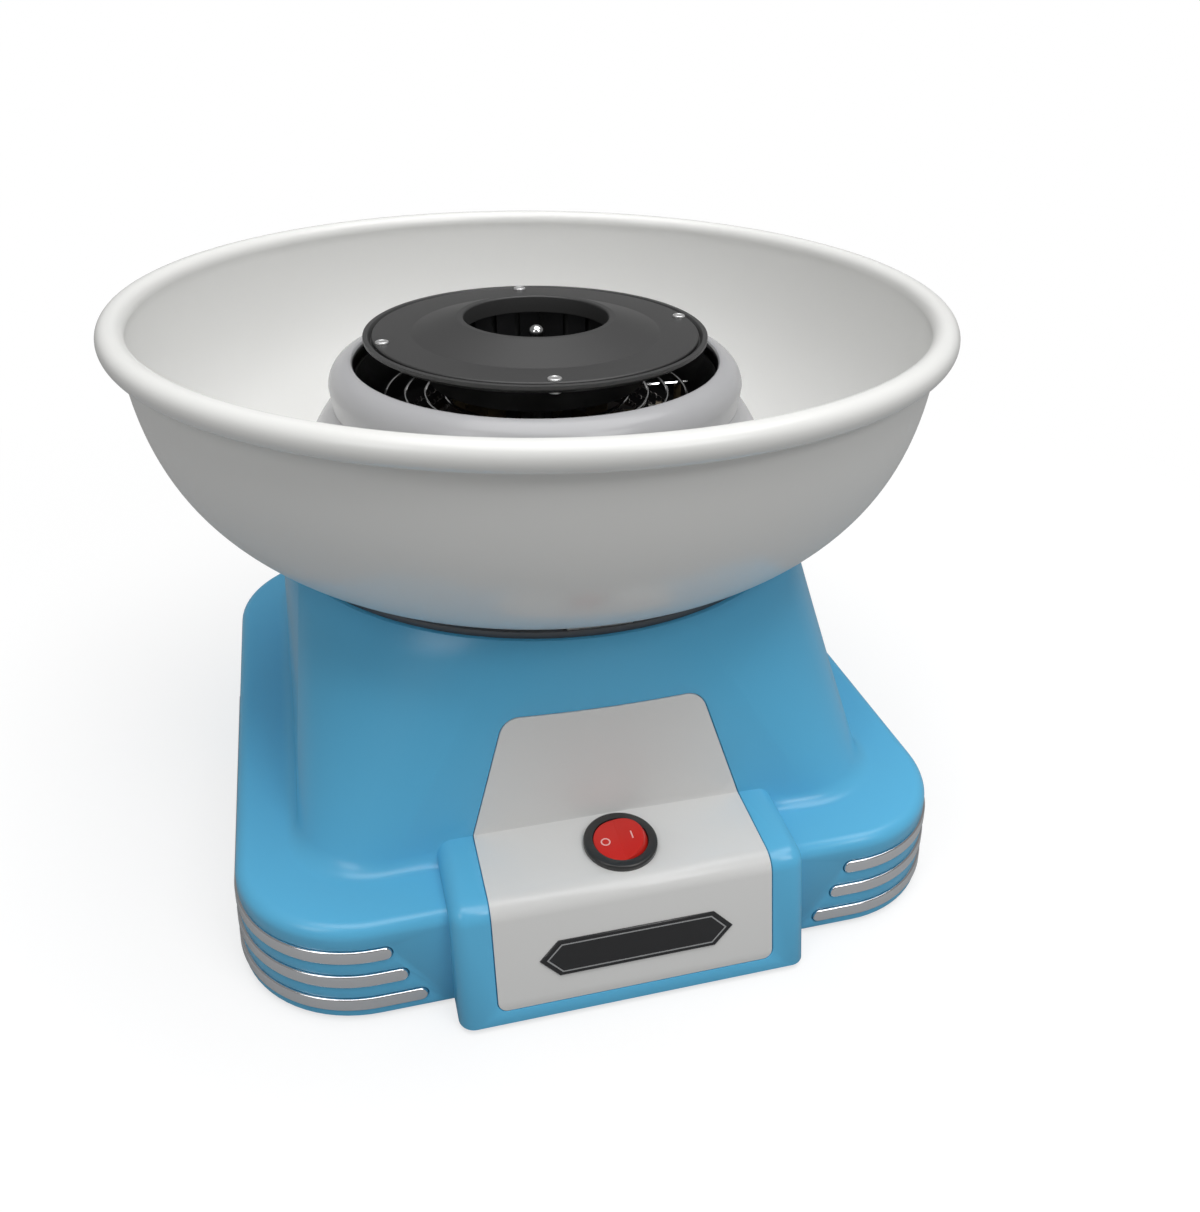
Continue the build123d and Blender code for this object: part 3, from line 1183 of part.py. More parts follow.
def write_parts():
    pieces = {
        "base_shell": base_shell(),
        "faceplate": faceplate(),
        "switch_housing": switch_housing(),
        "switch_rocker": switch_rocker(),
        "switch_terminals": switch_terminals(),
        "bottom_plate": bottom_plate(),
        "rubber_feet": rubber_feet(),
        "bottom_screws": screws(BOSS_PLACES, BOTTOM_PLATE_Z, up=True),
        "cord_gland": cord_gland(),
        "gland_nut": gland_nut(),
        "deck": deck(),
        "deck_screws": screws(DECK_SCREWS, DECK_TOP_Z, up=False),
        "heater_housing": heater_housing(),
        "housing_screws": screws(HOUSING_SCREWS, DECK_TOP_Z + HOUSING_WALL + SCREW_HEAD, up=False),
        "wind_ring": wind_ring(),
        "heat_reflector": heat_reflector(),
        "ceramic_standoffs": ceramic_standoffs(),
        "mica_boards": mica_boards(),
        "heating_wire": heating_wire(),
        "wire_guard": wire_guard(),
        "heater_leads": heater_leads(),
        "ceramic_beads": ceramic_beads(),
        "thermal_fuse": thermal_fuse(),
        "motor_bracket": motor_bracket(),
        "bracket_grommets": bracket_grommets(),
        "bracket_screws": screws(POST_PLACES, BRACKET_Z - SCREW_HEAD, up=True),
        "motor_can": motor_can(),
        "can_screws": can_screws(),
        "motor_end_cap": motor_end_cap(),
        "brushes": brushes(),
        "magnets": magnets(),
        "upper_bush": upper_bush(),
        "lower_bush": lower_bush(),
        "motor_shaft": motor_shaft(),
        "cross_pin": cross_pin(),
        "rotor_core": rotor_core(),
        "rotor_winding": rotor_winding(),
        "commutator": commutator(),
        "cooling_fan": cooling_fan(),
        "head_pan": head_pan(),
        "head_plate": head_plate(),
        "head_rivets": head_rivets(),
        "sugar_screen": sugar_screen(),
        "bowl": bowl(),
    }
    for side, word in ((-1, "left"), (1, "right")):
        for name in STRIPS:
            pieces[f"trim_{word}_{name}"] = trim_strip(side, name)
    os.makedirs("parts", exist_ok=True)
    for name, piece in pieces.items():
        export_step(piece, f"parts/{name}.step")


write_parts()
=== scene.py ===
"""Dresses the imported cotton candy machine: moulded shells, metalwork, finishes, light and camera."""

import json
from math import acos, atan2, cos, pi, radians, sin, tan

import bmesh
import bpy
from bpy.props import FloatProperty, FloatVectorProperty, IntProperty, PointerProperty
from bpy.types import Operator, Panel, PropertyGroup
from mathutils import Matrix, Vector

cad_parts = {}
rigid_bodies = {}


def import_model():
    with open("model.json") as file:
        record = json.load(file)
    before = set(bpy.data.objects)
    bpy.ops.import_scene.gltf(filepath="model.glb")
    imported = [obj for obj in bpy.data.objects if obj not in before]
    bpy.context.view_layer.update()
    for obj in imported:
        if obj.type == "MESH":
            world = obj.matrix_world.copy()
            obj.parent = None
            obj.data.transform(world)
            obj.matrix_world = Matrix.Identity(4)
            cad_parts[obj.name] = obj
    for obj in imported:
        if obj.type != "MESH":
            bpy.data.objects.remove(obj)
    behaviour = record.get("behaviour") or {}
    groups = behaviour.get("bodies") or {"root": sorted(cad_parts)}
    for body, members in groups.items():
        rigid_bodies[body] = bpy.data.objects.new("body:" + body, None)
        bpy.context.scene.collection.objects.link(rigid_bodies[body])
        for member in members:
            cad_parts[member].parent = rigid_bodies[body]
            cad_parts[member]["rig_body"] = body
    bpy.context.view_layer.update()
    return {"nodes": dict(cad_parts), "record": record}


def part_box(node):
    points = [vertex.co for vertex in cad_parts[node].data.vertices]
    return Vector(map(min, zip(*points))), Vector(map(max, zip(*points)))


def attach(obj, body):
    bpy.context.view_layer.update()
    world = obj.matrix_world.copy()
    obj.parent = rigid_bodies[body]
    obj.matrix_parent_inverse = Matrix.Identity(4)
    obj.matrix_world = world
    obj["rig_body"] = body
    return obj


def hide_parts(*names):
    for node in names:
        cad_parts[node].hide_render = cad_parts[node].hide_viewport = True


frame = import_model()

bl_info = {
    "name": "Cotton Candy Machine",
    "version": (1, 0, 0),
    "blender": (4, 5, 0),
    "location": "View3D > Sidebar > Candy Machine",
    "description": "Builds the dressed cotton candy machine around its packed frame",
    "category": "Add Mesh",
}

MM = 0.001
SMOOTH_LIMIT = radians(32)
LATHE_STEPS = 192
BOWL_STEPS = 256
ON_AXIS = 1e-9  # a point of an outline this near to Z lies on it
TURNED_WELD = 1e-7  # points of a turned shape this near are one
CAD_WELD = 2e-6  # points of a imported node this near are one
CAD_FLAT = radians(0.15)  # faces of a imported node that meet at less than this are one
PLAQUE_POINT = 1.6  # inset of the pointed ends, by that of the long edges
PLAQUE_EDGE = 0.2 * MM
RIVET_TURNS = (5, 85, 186, 264)  # degrees from X
LUG_TURNS = (270, 390, 510)  # degrees from X


def top_of(node):
    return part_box(node)[1].z


def foot_of(node):
    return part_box(node)[0].z


def from_display(red, green, blue):
    """Linear colour from the 0 to 255 numbers of a display."""
    channels = []
    for value in (red, green, blue):
        share = value / 255
        channels.append(share / 12.92 if share <= 0.04045 else ((share + 0.055) / 1.055) ** 2.4)
    return tuple(channels)


def colour(name, red, green, blue):
    return FloatVectorProperty(
        name=name,
        description=f"Colour of the {name.lower()}",
        subtype="COLOR",
        size=3,
        min=0.0,
        max=1.0,
        default=from_display(red, green, blue),
    )


def length(name, description, millimetres):
    return FloatProperty(
        name=name,
        description=description,
        default=millimetres * MM,
        subtype="DISTANCE",
        unit="LENGTH",
        precision=5,
    )


def angle(name, description, degrees):
    return FloatProperty(
        name=name, description=description, default=radians(degrees), subtype="ANGLE", unit="ROTATION"
    )


def number(name, description, value, unit="NONE"):
    return FloatProperty(name=name, description=description, default=value, unit=unit)


class CandyColours(PropertyGroup):
    """Colours of the finishes."""

    shell: colour("Base shell", 20, 166, 228)
    plate: colour("Folded plate", 198, 197, 196)
    bowl: colour("Bowl", 208, 207, 205)
    ring: colour("Wind ring", 108, 108, 109)
    # Dark grey of the deck, partly its own tone and partly painted shade of the shadowed gap under the bowl
    deck: colour("Deck", 58, 62, 68)
    head: colour("Spinner head", 14, 14, 14)
    reflector: colour("Heat reflector", 30, 30, 31)
    rocker: colour("Rocker", 132, 5, 4)
    rocker_marks: colour("Rocker marks", 250, 200, 196)
    bezel: colour("Switch bezel", 34, 36, 38)
    mica: colour("Mica boards", 112, 98, 76)
    ceramic: colour("Ceramic", 222, 205, 180)
    badge: colour("Badge", 34, 34, 36)
    floor: colour("Floor", 160, 160, 160)


class CandySizes(PropertyGroup):
    """Sizes of the dressed pieces."""

    bowl_hole: length("Bowl hole radius", "Radius of the hole in the bowl's floor", 87.5)
    bowl_centre: length("Bowl curve centre", "Radius at which the bowl's side curve starts", 88.5)
    bowl_width: length("Bowl curve width", "How far the bowl's side curve reaches outwards", 45.5)
    bowl_depth: length("Bowl curve depth", "How high the bowl's side curve reaches", 72.0)
    bowl_wall: length("Bowl wall", "Thickness of the bowl", 2.0)
    rim_inner: length("Rim inner radius", "Radius of the rim's inner edge", 131.5)
    bowl_cone: number("Bowl cone share", "How far the lower side is drawn in towards a cone", 0.87)
    housing_belly: length("Housing belly radius", "Radius of the housing at its belly", 83.9)
    housing_rise: length("Housing belly rise", "Height of the belly above the housing's foot", 21.3)
    housing_top: length("Housing top radius", "Radius of the seam under the wind ring", 71.4)
    ring_widest: length("Ring widest rise", "Height of the ring's widest line above its seam", 7.0)
    ring_shoulder: length("Ring shoulder inset", "How far the ring's shoulder lies inside the seam", 2.4)
    ring_shoulder_rise: length("Ring shoulder rise", "Height of the shoulder above the seam", 12.9)
    ring_lip: length("Ring lip radius", "Radius of the wind ring's inner lip", 63.5)
    ring_wall: length("Ring wall", "Thickness of the wind ring and its housing", 2.0)
    ring_spigot: length("Ring spigot", "How far the ring reaches down into the housing", 4.0)
    housing_skirt: length("Housing skirt", "Height of the housing's straight foot", 4.0)
    collar_hole: length("Collar hole radius", "Radius of the hole that takes the sugar", 25.0)
    collar_foot: length("Collar foot radius", "Radius at which the collar's cone starts", 43.0)
    collar_height: length("Collar height", "Height of the funnel collar over the head plate", 5.0)
    rivet_circle: length("Rivet circle", "Radius of the circle of rivets", 53.6)
    rivet_head: length("Rivet head radius", "Radius of a rivet's head", 2.35)
    rivet_height: length("Rivet head height", "Height of a rivet's head", 0.8)
    rivet_spacer: length("Rivet spacer radius", "Radius of a rivet between the two halves", 2.2)
    guard_first: length("First guard ring", "Radius of the innermost guard wire", 32.6)
    guard_step: length("Guard ring step", "Distance from one guard wire to the next", 6.93)
    guard_count: IntProperty(name="Guard rings", description="Number of guard wires", default=4)
    guard_wire: length("Guard wire", "Radius of a guard wire", 0.6)
    strut_reach: length("Strut reach", "Radius at which a guard strut ends", 56.4)
    coil_outer: length("Coil radius", "Radius at which the heating coil's spiral starts", 49.0)
    coil_pitch: length("Coil pitch", "Distance from one round of the spiral to the next", 6.0)
    coil_wire: length("Coil wire", "Radius of the fine wire", 0.17)
    coil_rounds: IntProperty(name="Coil half rounds", description="Half rounds of the spiral", default=6)
    coil_turns: IntProperty(name="Coil turns", description="Turns of the heating coil's helix", default=260)
    badge_width: length("Badge width", "Width of the plaque on the front plate", 62.0)
    badge_height: length("Badge height", "Height of the plaque on the front plate", 12.0)
    badge_rise: length("Badge rise", "Height of the plaque's middle above the table", 21.0)


class CandyStage(PropertyGroup):
    """Camera and light."""

    camera_x: length("Camera X", "Camera place along X", -76.7)
    camera_y: length("Camera Y", "Camera place along Y", -368.5)
    camera_z: length("Camera Z", "Camera height", 282.1)
    yaw: angle("Yaw", "Turn of the view to the right", 15.385)
    pitch: angle("Pitch", "Turn of the view downwards", 30.454)
    roll: angle("Roll", "Turn of the view about its own line", 1.069)
    lens: number("Lens", "Focal length in millimetres", 32.57)
    top_power: number("Top light", "Power of the overhead light", 23.0, "POWER")
    key_power: number("Key light", "Power of the key light", 2.6, "POWER")
    fill_power: number("Fill light", "Power of the fill light", 1.6, "POWER")
    world_strength: number("World", "Strength of the world's light", 0.22)
    floor_glow: number("Floor glow", "Light added to the floor that the camera sees", 0.68)
    floor_size: length("Floor size", "Half the side of the floor", 6000.0)
    floor_near: length("Floor near radius", "Radius up to which the floor shows shadows", 220.0)
    floor_far: length("Floor far radius", "Radius from which the floor is plain white", 500.0)


def sizes():
    return bpy.context.scene.candy_sizes


def colours():
    return bpy.context.scene.candy_colours


# ---------------------------------------------------------------- shader writing


class Flow:
    """A shader socket on which Python arithmetic adds Math nodes."""

    def __init__(self, tree, socket):
        self.tree = tree
        self.socket = socket

    def maths(self, operation, first, second):
        node = self.tree.nodes.new("ShaderNodeMath")
        node.operation = operation
        for socket, value in zip(node.inputs, (first, second)):
            if isinstance(value, Flow):
                self.tree.links.new(value.socket, socket)
            else:
                socket.default_value = value
        return Flow(self.tree, node.outputs[0])

    def __add__(self, other):
        return self.maths("ADD", self, other)

    def __sub__(self, other):
        return self.maths("SUBTRACT", self, other)

    def __rsub__(self, other):
        return self.maths("SUBTRACT", other, self)

    def __mul__(self, other):
        return self.maths("MULTIPLY", self, other)

    def __truediv__(self, other):
        return self.maths("DIVIDE", self, other)

    def __gt__(self, other):
        return self.maths("GREATER_THAN", self, other)

    __radd__ = __add__
    __rmul__ = __mul__

    def power(self, other):
        return self.maths("POWER", self, other)

    def sine(self):
        return self.maths("SINE", self, 0.0)

    def least(self, other):
        return self.maths("MINIMUM", self, other)

    def most(self, other):
        return self.maths("MAXIMUM", self, other)


class Finish:
    """One material, with its Principled shader and a method that adds any other node."""

    def __init__(self, name, **constants):
        self.material = bpy.data.materials.new(name)
        self.material.use_nodes = True
        self.tree = self.material.node_tree
        self.shader = self.tree.nodes["Principled BSDF"]
        for socket, value in constants.items():
            self.give(self.shader, socket.replace("_", " "), value)

    def give(self, node, socket, value):
        target = node.inputs[socket]
        if isinstance(value, Flow):
            self.tree.links.new(value.socket, target)
        elif target.type == "RGBA" and len(value) == 3:
            target.default_value = (*value, 1.0)
        else:
            target.default_value = value

    def node(self, kind, settings=None, sockets=None, out=0):
        """A node of one kind, its settings first, then values or links for its sockets."""
        made = self.tree.nodes.new("ShaderNode" + kind)
        for key, value in (settings or {}).items():
            if key == "stops":
                self.ramp_stops(made.color_ramp, value)
            else:
                setattr(made, key, value)
        for key, value in (sockets or {}).items():
            self.give(made, key, value)
        return Flow(self.tree, made.outputs[out])

    @staticmethod
    def ramp_stops(ramp, stops):
        while len(ramp.elements) < len(stops):
            ramp.elements.new(0.5)
        for element, (place, shade) in zip(ramp.elements, stops):
            element.position = place
            element.color = (*shade, 1.0)

    def place(self):
        return self.node("TexCoord", out="Object")

    def noise(self, millimetres, detail=3.0, roughness=0.5, stretch=None):
        """Noise with features of about this many millimetres, from 0 to 1."""
        where = self.place()
        if stretch:
            where = self.node("Mapping", sockets={"Vector": where, "Scale": stretch})
        scale = 1.0 / (millimetres * MM)
        sockets = {"Vector": where, "Scale": scale, "Detail": detail, "Roughness": roughness}
        return self.node("TexNoise", sockets=sockets)

    def cells(self, millimetres):
        """Distance from the middle of cells of this many millimetres."""
        sockets = {"Vector": self.place(), "Scale": 1.0 / (millimetres * MM)}
        return self.node("TexVoronoi", {"feature": "F1"}, sockets)

    def ramp(self, share, stops):
        return self.node("ValToRGB", {"stops": stops}, {"Fac": share})

    def axes(self):
        split = self.tree.nodes.new("ShaderNodeSeparateXYZ")
        self.tree.links.new(self.place().socket, split.inputs[0])
        return [Flow(self.tree, socket) for socket in split.outputs]

    def mix(self, share, first, second):
        """Colour between two colours."""
        made = self.tree.nodes.new("ShaderNodeMix")
        made.data_type = "RGBA"
        for socket, value in ((made.inputs[0], share), (made.inputs[6], first), (made.inputs[7], second)):
            if isinstance(value, Flow):
                self.tree.links.new(value.socket, socket)
            elif socket.type == "RGBA":
                socket.default_value = (*value, 1.0)
            else:
                socket.default_value = value
        return Flow(self.tree, made.outputs[2])

    def set(self, socket, value):
        self.give(self.shader, socket, value)

    def done(self, base, roughness, height, millimetres):
        """The material, from its colour, its roughness and the height of its surface."""
        self.set("Base Color", base)
        self.set("Roughness", roughness)
        sockets = {"Height": height, "Distance": millimetres * MM, "Strength": 1.0}
        self.set("Normal", self.node("Bump", sockets=sockets))
        return self.material


def shade(tone, share):
    """A colour made darker or lighter by a share."""
    return tuple(min(1.0, channel * share) for channel in tone[:3])


def moulded_gloss(name, tone, roughness, ripple=0.035, speck=0.0):
    """Glossy injection moulding: faint flow clouds, handling haze and a ripple in the surface."""
    finish = Finish(name, Coat_Weight=0.15, Coat_Roughness=0.06, IOR=1.48)
    clouds = finish.noise(38.0, 3.0)
    base = finish.mix(clouds, shade(tone, 0.965), shade(tone, 1.03))
    if speck:
        specks = finish.noise(0.9, 2.0) > 1.0 - speck
        base = finish.mix(specks * 0.35, base, shade(tone, 0.5))
    haze = finish.noise(21.0, 5.0, 0.6)
    sheen = haze * 0.09 + (roughness - 0.045)
    return finish.done(base, sheen, finish.noise(5.5, 2.0) * 0.8 + finish.noise(0.7, 2.0) * 0.2, ripple)


def moulded_matt(name, tone, grain=0.35, roughness=0.55):
    """Matt moulding with a fine spark-eroded grain."""
    finish = Finish(name)
    clouds = finish.noise(24.0, 4.0)
    base = finish.mix(clouds, shade(tone, 0.9), shade(tone, 1.1))
    texture = finish.noise(grain, 2.0, 0.6)
    sheen = texture * 0.18 + (roughness - 0.09)
    return finish.done(base, sheen, texture, 0.05)


def satin_coat(name, tone):
    """Baked satin coat on a casting: fine tooth, soft sheen and rubbed patches."""
    finish = Finish(name, Specular_IOR_Level=0.3)
    tooth = finish.noise(0.45, 3.0, 0.65)
    rubbed = finish.noise(14.0, 5.0, 0.6)
    worn = (rubbed - 0.52) * 3.0
    base = finish.mix(worn.most(0.0).least(1.0), shade(tone, 0.85), shade(tone, 1.35))
    sheen = tooth * 0.12 + rubbed * 0.14 + 0.26
    return finish.done(base, sheen, tooth, 0.045)


def bright_metal(name, tone, roughness):
    """Plated or polished metal with faint wiping marks."""
    finish = Finish(name, Metallic=1.0)
    wiped = finish.noise(3.0, 5.0, 0.6)
    base = finish.mix(wiped, shade(tone, 0.94), shade(tone, 1.03))
    sheen = wiped * 0.1 + (roughness - 0.03)
    return finish.done(base, sheen, wiped, 0.012)


def brushed_sheet(name, tone):
    """Zinc plated or rolled sheet with a rolling grain and a faint spangle."""
    finish = Finish(name, Metallic=1.0)
    grain = finish.noise(0.5, 4.0, 0.6, stretch=(0.06, 1.0, 1.0))
    spangle = finish.cells(4.0)
    base = finish.mix(spangle * 0.5 + grain * 0.3, shade(tone, 0.85), shade(tone, 1.1))
    sheen = grain * 0.2 + 0.24
    return finish.done(base, sheen, grain, 0.02)


def folded_plate(name, tone):
    """Lacquered plate: satin gloss, a very fine mottle and smudges."""
    finish = Finish(name, Coat_Weight=0.35, Coat_Roughness=0.08)
    mottle = finish.noise(1.6, 3.0, 0.6)
    smudge = finish.noise(16.0, 4.0, 0.6)
    base = finish.mix(mottle * 0.6 + smudge * 0.4, shade(tone, 0.955), shade(tone, 1.03))
    sheen = smudge * 0.12 + 0.2
    return finish.done(base, sheen, mottle, 0.012)


def lit_red(name, tone):
    """Translucent red switch cap: darker in its depth, bright at its edges."""
    finish = Finish(
        name, Coat_Weight=0.3, Coat_Roughness=0.03, IOR=1.49, Subsurface_Weight=0.25, Subsurface_Scale=0.004
    )
    depth = finish.noise(5.0, 2.0)
    base = finish.mix(depth, shade(tone, 0.78), shade(tone, 1.12))
    sheen = depth * 0.08 + 0.12
    return finish.done(base, sheen, finish.noise(1.2, 2.0), 0.015)


def mica_sheet(name, tone):
    """Layered mica: flaky sheen, amber and dark veins."""
    finish = Finish(name, Specular_IOR_Level=0.6)
    flakes = finish.cells(2.2)
    veins = finish.noise(4.0, 6.0, 0.65, stretch=(1.0, 1.0, 3.0))
    base = finish.ramp(veins, [(0.3, shade(tone, 0.55)), (0.55, shade(tone, 1.0)), (0.8, shade(tone, 1.4))])
    sheen = flakes * 0.25 + 0.25
    return finish.done(base, sheen, flakes * 0.4 + veins * 0.6, 0.08)


def heated_sheet(name, tone):
    """Blackened reflector sheet with brown heat tint towards the coil."""
    finish = Finish(name, Metallic=0.55)
    height = finish.axes()[2]
    low, high = foot_of("heat_reflector"), top_of("heat_reflector")
    rise = (height - low) / (high - low)
    tint = finish.noise(9.0, 4.0, 0.6) * 0.5 + (1.0 - rise) * 0.5
    burnt = from_display(74, 54, 40)
    base = finish.ramp(tint, [(0.35, shade(tone, 0.9)), (0.7, shade(tone, 1.7)), (1.0, burnt)])
    sheen = finish.noise(2.0, 4.0) * 0.2 + 0.26
    return finish.done(base, sheen, finish.noise(1.2, 3.0), 0.02)


def woven_sleeve(name, tone):
    """Glass-fibre sleeve with a crossed weave."""
    finish = Finish(name)
    where = finish.axes()
    along = (where[0] + where[1]) * (2 * pi / (0.9 * MM))
    across = (where[2] - where[1]) * (2 * pi / (0.9 * MM))
    weave = along.sine() * across.sine() * 0.5 + 0.5
    base = finish.mix(weave, shade(tone, 0.72), shade(tone, 1.05))
    sheen = weave * 0.2 + 0.6
    return finish.done(base, sheen, weave, 0.08)


def laminated_core(name, tone):
    """Stack of thin sheets: fine lines across the height."""
    finish = Finish(name, Metallic=0.9)
    height = finish.axes()[2]
    lines = (height * (2 * pi / (0.5 * MM))).sine() * 0.5 + 0.5
    rust = finish.noise(6.0, 4.0)
    base = finish.mix(lines * 0.5 + rust * 0.5, shade(tone, 0.6), shade(tone, 1.15))
    sheen = rust * 0.2 + 0.3
    return finish.done(base, sheen, lines, 0.06)


def wound_copper(name, tone):
    """Enamelled copper winding with its wire turns."""
    finish = Finish(name, Metallic=0.85, Coat_Weight=0.5)
    x, y, _ = finish.axes()
    turns = ((x * x + y * y).power(0.5) * (2 * pi / (0.6 * MM))).sine() * 0.5 + 0.5
    base = finish.mix(turns, shade(tone, 0.55), shade(tone, 1.1))
    sheen = turns * 0.15 + 0.25
    return finish.done(base, sheen, turns, 0.08)


def pale_floor(name, tone, stage):
    """Studio floor: shadows near the machine, plain white further off, plain grey to indirect light."""
    finish = Finish(name, Roughness=0.75, Specular_IOR_Level=0.15, Emission_Strength=1.0)
    finish.set("Base Color", tone)
    seen = finish.node("LightPath", out="Is Camera Ray")
    finish.set("Emission Color", finish.mix(seen, (0.0, 0.0, 0.0), (stage.floor_glow,) * 3))
    x, y, _ = finish.axes()
    radius = (x * x + y * y).power(0.5)
    reach = (radius - stage.floor_near) / (stage.floor_far - stage.floor_near)
    share = reach.most(0.0).least(1.0) * seen
    white = finish.node("Emission", sockets={"Color": (1.0, 1.0, 1.0), "Strength": 1.0})
    plain = Flow(finish.tree, finish.shader.outputs[0])
    both = finish.node("MixShader", sockets={0: share, 1: plain, 2: white})
    finish.tree.links.new(both.socket, finish.tree.nodes["Material Output"].inputs["Surface"])
    return finish.material


def make_finishes():
    """Every material by the record's slot names, and a few for pieces that only the scene has."""
    tone = colours()
    steel = from_display(176, 178, 182)
    made = {
        "blue_shell": moulded_gloss("blue_shell", tone.shell, 0.17),
        "plate_grey": folded_plate("plate_grey", tone.plate),
        "switch_black": moulded_gloss("switch_black", tone.bezel, 0.22, ripple=0.02),
        "switch_red": lit_red("switch_red", tone.rocker),
        "rocker_marks": moulded_gloss("rocker_marks", tone.rocker_marks, 0.35, ripple=0.01),
        "brass": bright_metal("brass", from_display(214, 176, 104), 0.22),
        "inner_plastic": moulded_matt("inner_plastic", from_display(62, 63, 66)),
        "rubber": moulded_matt("rubber", from_display(38, 38, 39), grain=0.6, roughness=0.75),
        "steel": bright_metal("steel", steel, 0.24),
        "gland_black": moulded_matt("gland_black", from_display(34, 34, 35), grain=0.25, roughness=0.45),
        # Deck finish: dark grey, partly painted shade of the gap under the bowl
        "deck_grey": moulded_matt("deck_grey", tone.deck, grain=0.4, roughness=0.4),
        "ring_grey": moulded_gloss("ring_grey", tone.ring, 0.19, ripple=0.03, speck=0.02),
        "dark_steel": heated_sheet("dark_steel", tone.reflector),
        "ceramic": moulded_matt("ceramic", tone.ceramic, grain=0.3, roughness=0.7),
        "mica": mica_sheet("mica", tone.mica),
        "heating_steel": bright_metal("heating_steel", from_display(120, 112, 106), 0.4),
        "bright_wire": bright_metal("bright_wire", from_display(205, 205, 204), 0.2),
        "lead_white": woven_sleeve("lead_white", from_display(228, 226, 218)),
        "fuse_steel": bright_metal("fuse_steel", from_display(200, 200, 202), 0.25),
        "zinc_steel": brushed_sheet("zinc_steel", from_display(176, 180, 186)),
        "graphite": moulded_matt("graphite", from_display(52, 52, 54), grain=0.3, roughness=0.6),
        "magnet": moulded_matt("magnet", from_display(60, 58, 57), grain=0.5, roughness=0.6),
        "bronze": bright_metal("bronze", from_display(178, 134, 86), 0.38),
        "shaft_steel": bright_metal("shaft_steel", from_display(214, 214, 214), 0.12),
        "core_steel": laminated_core("core_steel", from_display(150, 150, 152)),
        "copper": wound_copper("copper", from_display(196, 110, 66)),
        "head_black": satin_coat("head_black", tone.head),
        "rivet_aluminium": bright_metal("rivet_aluminium", from_display(222, 222, 222), 0.26),
        "screen_aluminium": brushed_sheet("screen_aluminium", from_display(84, 84, 86)),
        "bowl_white": moulded_gloss("bowl_white", tone.bowl, 0.14, ripple=0.03, speck=0.004),
        "trim_chrome": bright_metal("trim_chrome", from_display(236, 238, 240), 0.08),
        "badge_grey": moulded_gloss("badge_grey", tone.badge, 0.3, ripple=0.01),
        "badge_silver": bright_metal("badge_silver", from_display(206, 207, 208), 0.25),
    }
    return made


# ---------------------------------------------------------------- mesh making


def mesh_of(name, shape):
    """A bmesh turned into mesh data, and freed."""
    mesh = bpy.data.meshes.new(name)
    shape.to_mesh(mesh)
    shape.free()
    return mesh


def link_new(name, data):
    """A new object of the scene."""
    made = bpy.data.objects.new(name, data)
    bpy.context.scene.collection.objects.link(made)
    return made


def make_object(name, mesh, finish, body, replaced=()):
    """A finished mesh becomes a piece of one body."""
    piece = link_new(name, mesh)
    mesh.materials.clear()
    mesh.materials.append(bpy.data.materials[finish])
    mesh.shade_smooth()
    mesh.set_sharp_from_angle(angle=SMOOTH_LIMIT)
    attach(piece, body)
    if replaced:
        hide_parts(*replaced)
    return piece


def make_skin(name, mesh, finish, body, node):
    """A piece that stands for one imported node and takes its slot."""
    return make_object(name, mesh, finish, body, (node,))


def baked_mesh(piece):
    """The evaluated mesh of an object with modifiers, as plain data; the object is removed."""
    bpy.context.view_layer.update()
    graph = bpy.context.evaluated_depsgraph_get()
    mesh = bpy.data.meshes.new_from_object(piece.evaluated_get(graph), depsgraph=graph)
    old = piece.data
    bpy.data.objects.remove(piece)
    if old.users == 0 and isinstance(old, bpy.types.Mesh):
        bpy.data.meshes.remove(old)
    return mesh


def rounded(corners, steps=6):
    """Closed outline from (radius, height, fillet) corners, with an arc at each corner that has a fillet."""
    outline = []
    for index, (x, y, fillet) in enumerate(corners):
        corner = Vector((x, y))
        if not fillet:
            outline.append(corner)
            continue
        before = (Vector(corners[index - 1][:2]) - corner).normalized()
        after = (Vector(corners[(index + 1) % len(corners)][:2]) - corner).normalized()
        half = acos(max(-1.0, min(1.0, before.dot(after)))) / 2
        centre = corner + (before + after).normalized() * (fillet / sin(half))
        start = corner + before * (fillet / tan(half)) - centre
        end = corner + after * (fillet / tan(half)) - centre
        sweep = -start.angle_signed(end)
        for k in range(steps + 1):
            outline.append(centre + Matrix.Rotation(sweep * k / steps, 2) @ start)
    return outline


def arc_points(start, middle, end, steps):
    """Points of the arc through three (radius, height) points."""
    a, b, c = Vector(start), Vector(middle), Vector(end)
    d = 2 * (a.x * (b.y - c.y) + b.x * (c.y - a.y) + c.x * (a.y - b.y))
    squares = [point.length_squared for point in (a, b, c)]
    centre = Vector(
        (
            (squares[0] * (b.y - c.y) + squares[1] * (c.y - a.y) + squares[2] * (a.y - b.y)) / d,
            (squares[0] * (c.x - b.x) + squares[1] * (a.x - c.x) + squares[2] * (b.x - a.x)) / d,
        )
    )
    start_arm = a - centre
    sweep = -(start_arm.angle_signed(b - centre) + (b - centre).angle_signed(c - centre))
    return [centre + Matrix.Rotation(sweep * k / steps, 2) @ start_arm for k in range(steps + 1)]


def lathed(name, outline, steps=LATHE_STEPS):
    """Mesh of a closed (radius, height) outline turned about Z, with its poles closed."""
    shape = bmesh.new()
    rings = []
    for k in range(steps):
        turn = 2 * pi * k / steps
        rings.append([shape.verts.new((p[0] * cos(turn), p[0] * sin(turn), p[1])) for p in outline])
    count = len(outline)
    for k in range(steps):
        near, far = rings[k], rings[(k + 1) % steps]
        for j in range(count):
            following = (j + 1) % count
            if outline[j][0] < ON_AXIS and outline[following][0] < ON_AXIS:
                continue
            shape.faces.new((near[j], far[j], far[following], near[following]))
    bmesh.ops.remove_doubles(shape, verts=shape.verts, dist=TURNED_WELD)
    bmesh.ops.recalc_face_normals(shape, faces=shape.faces)
    return mesh_of(name, shape)


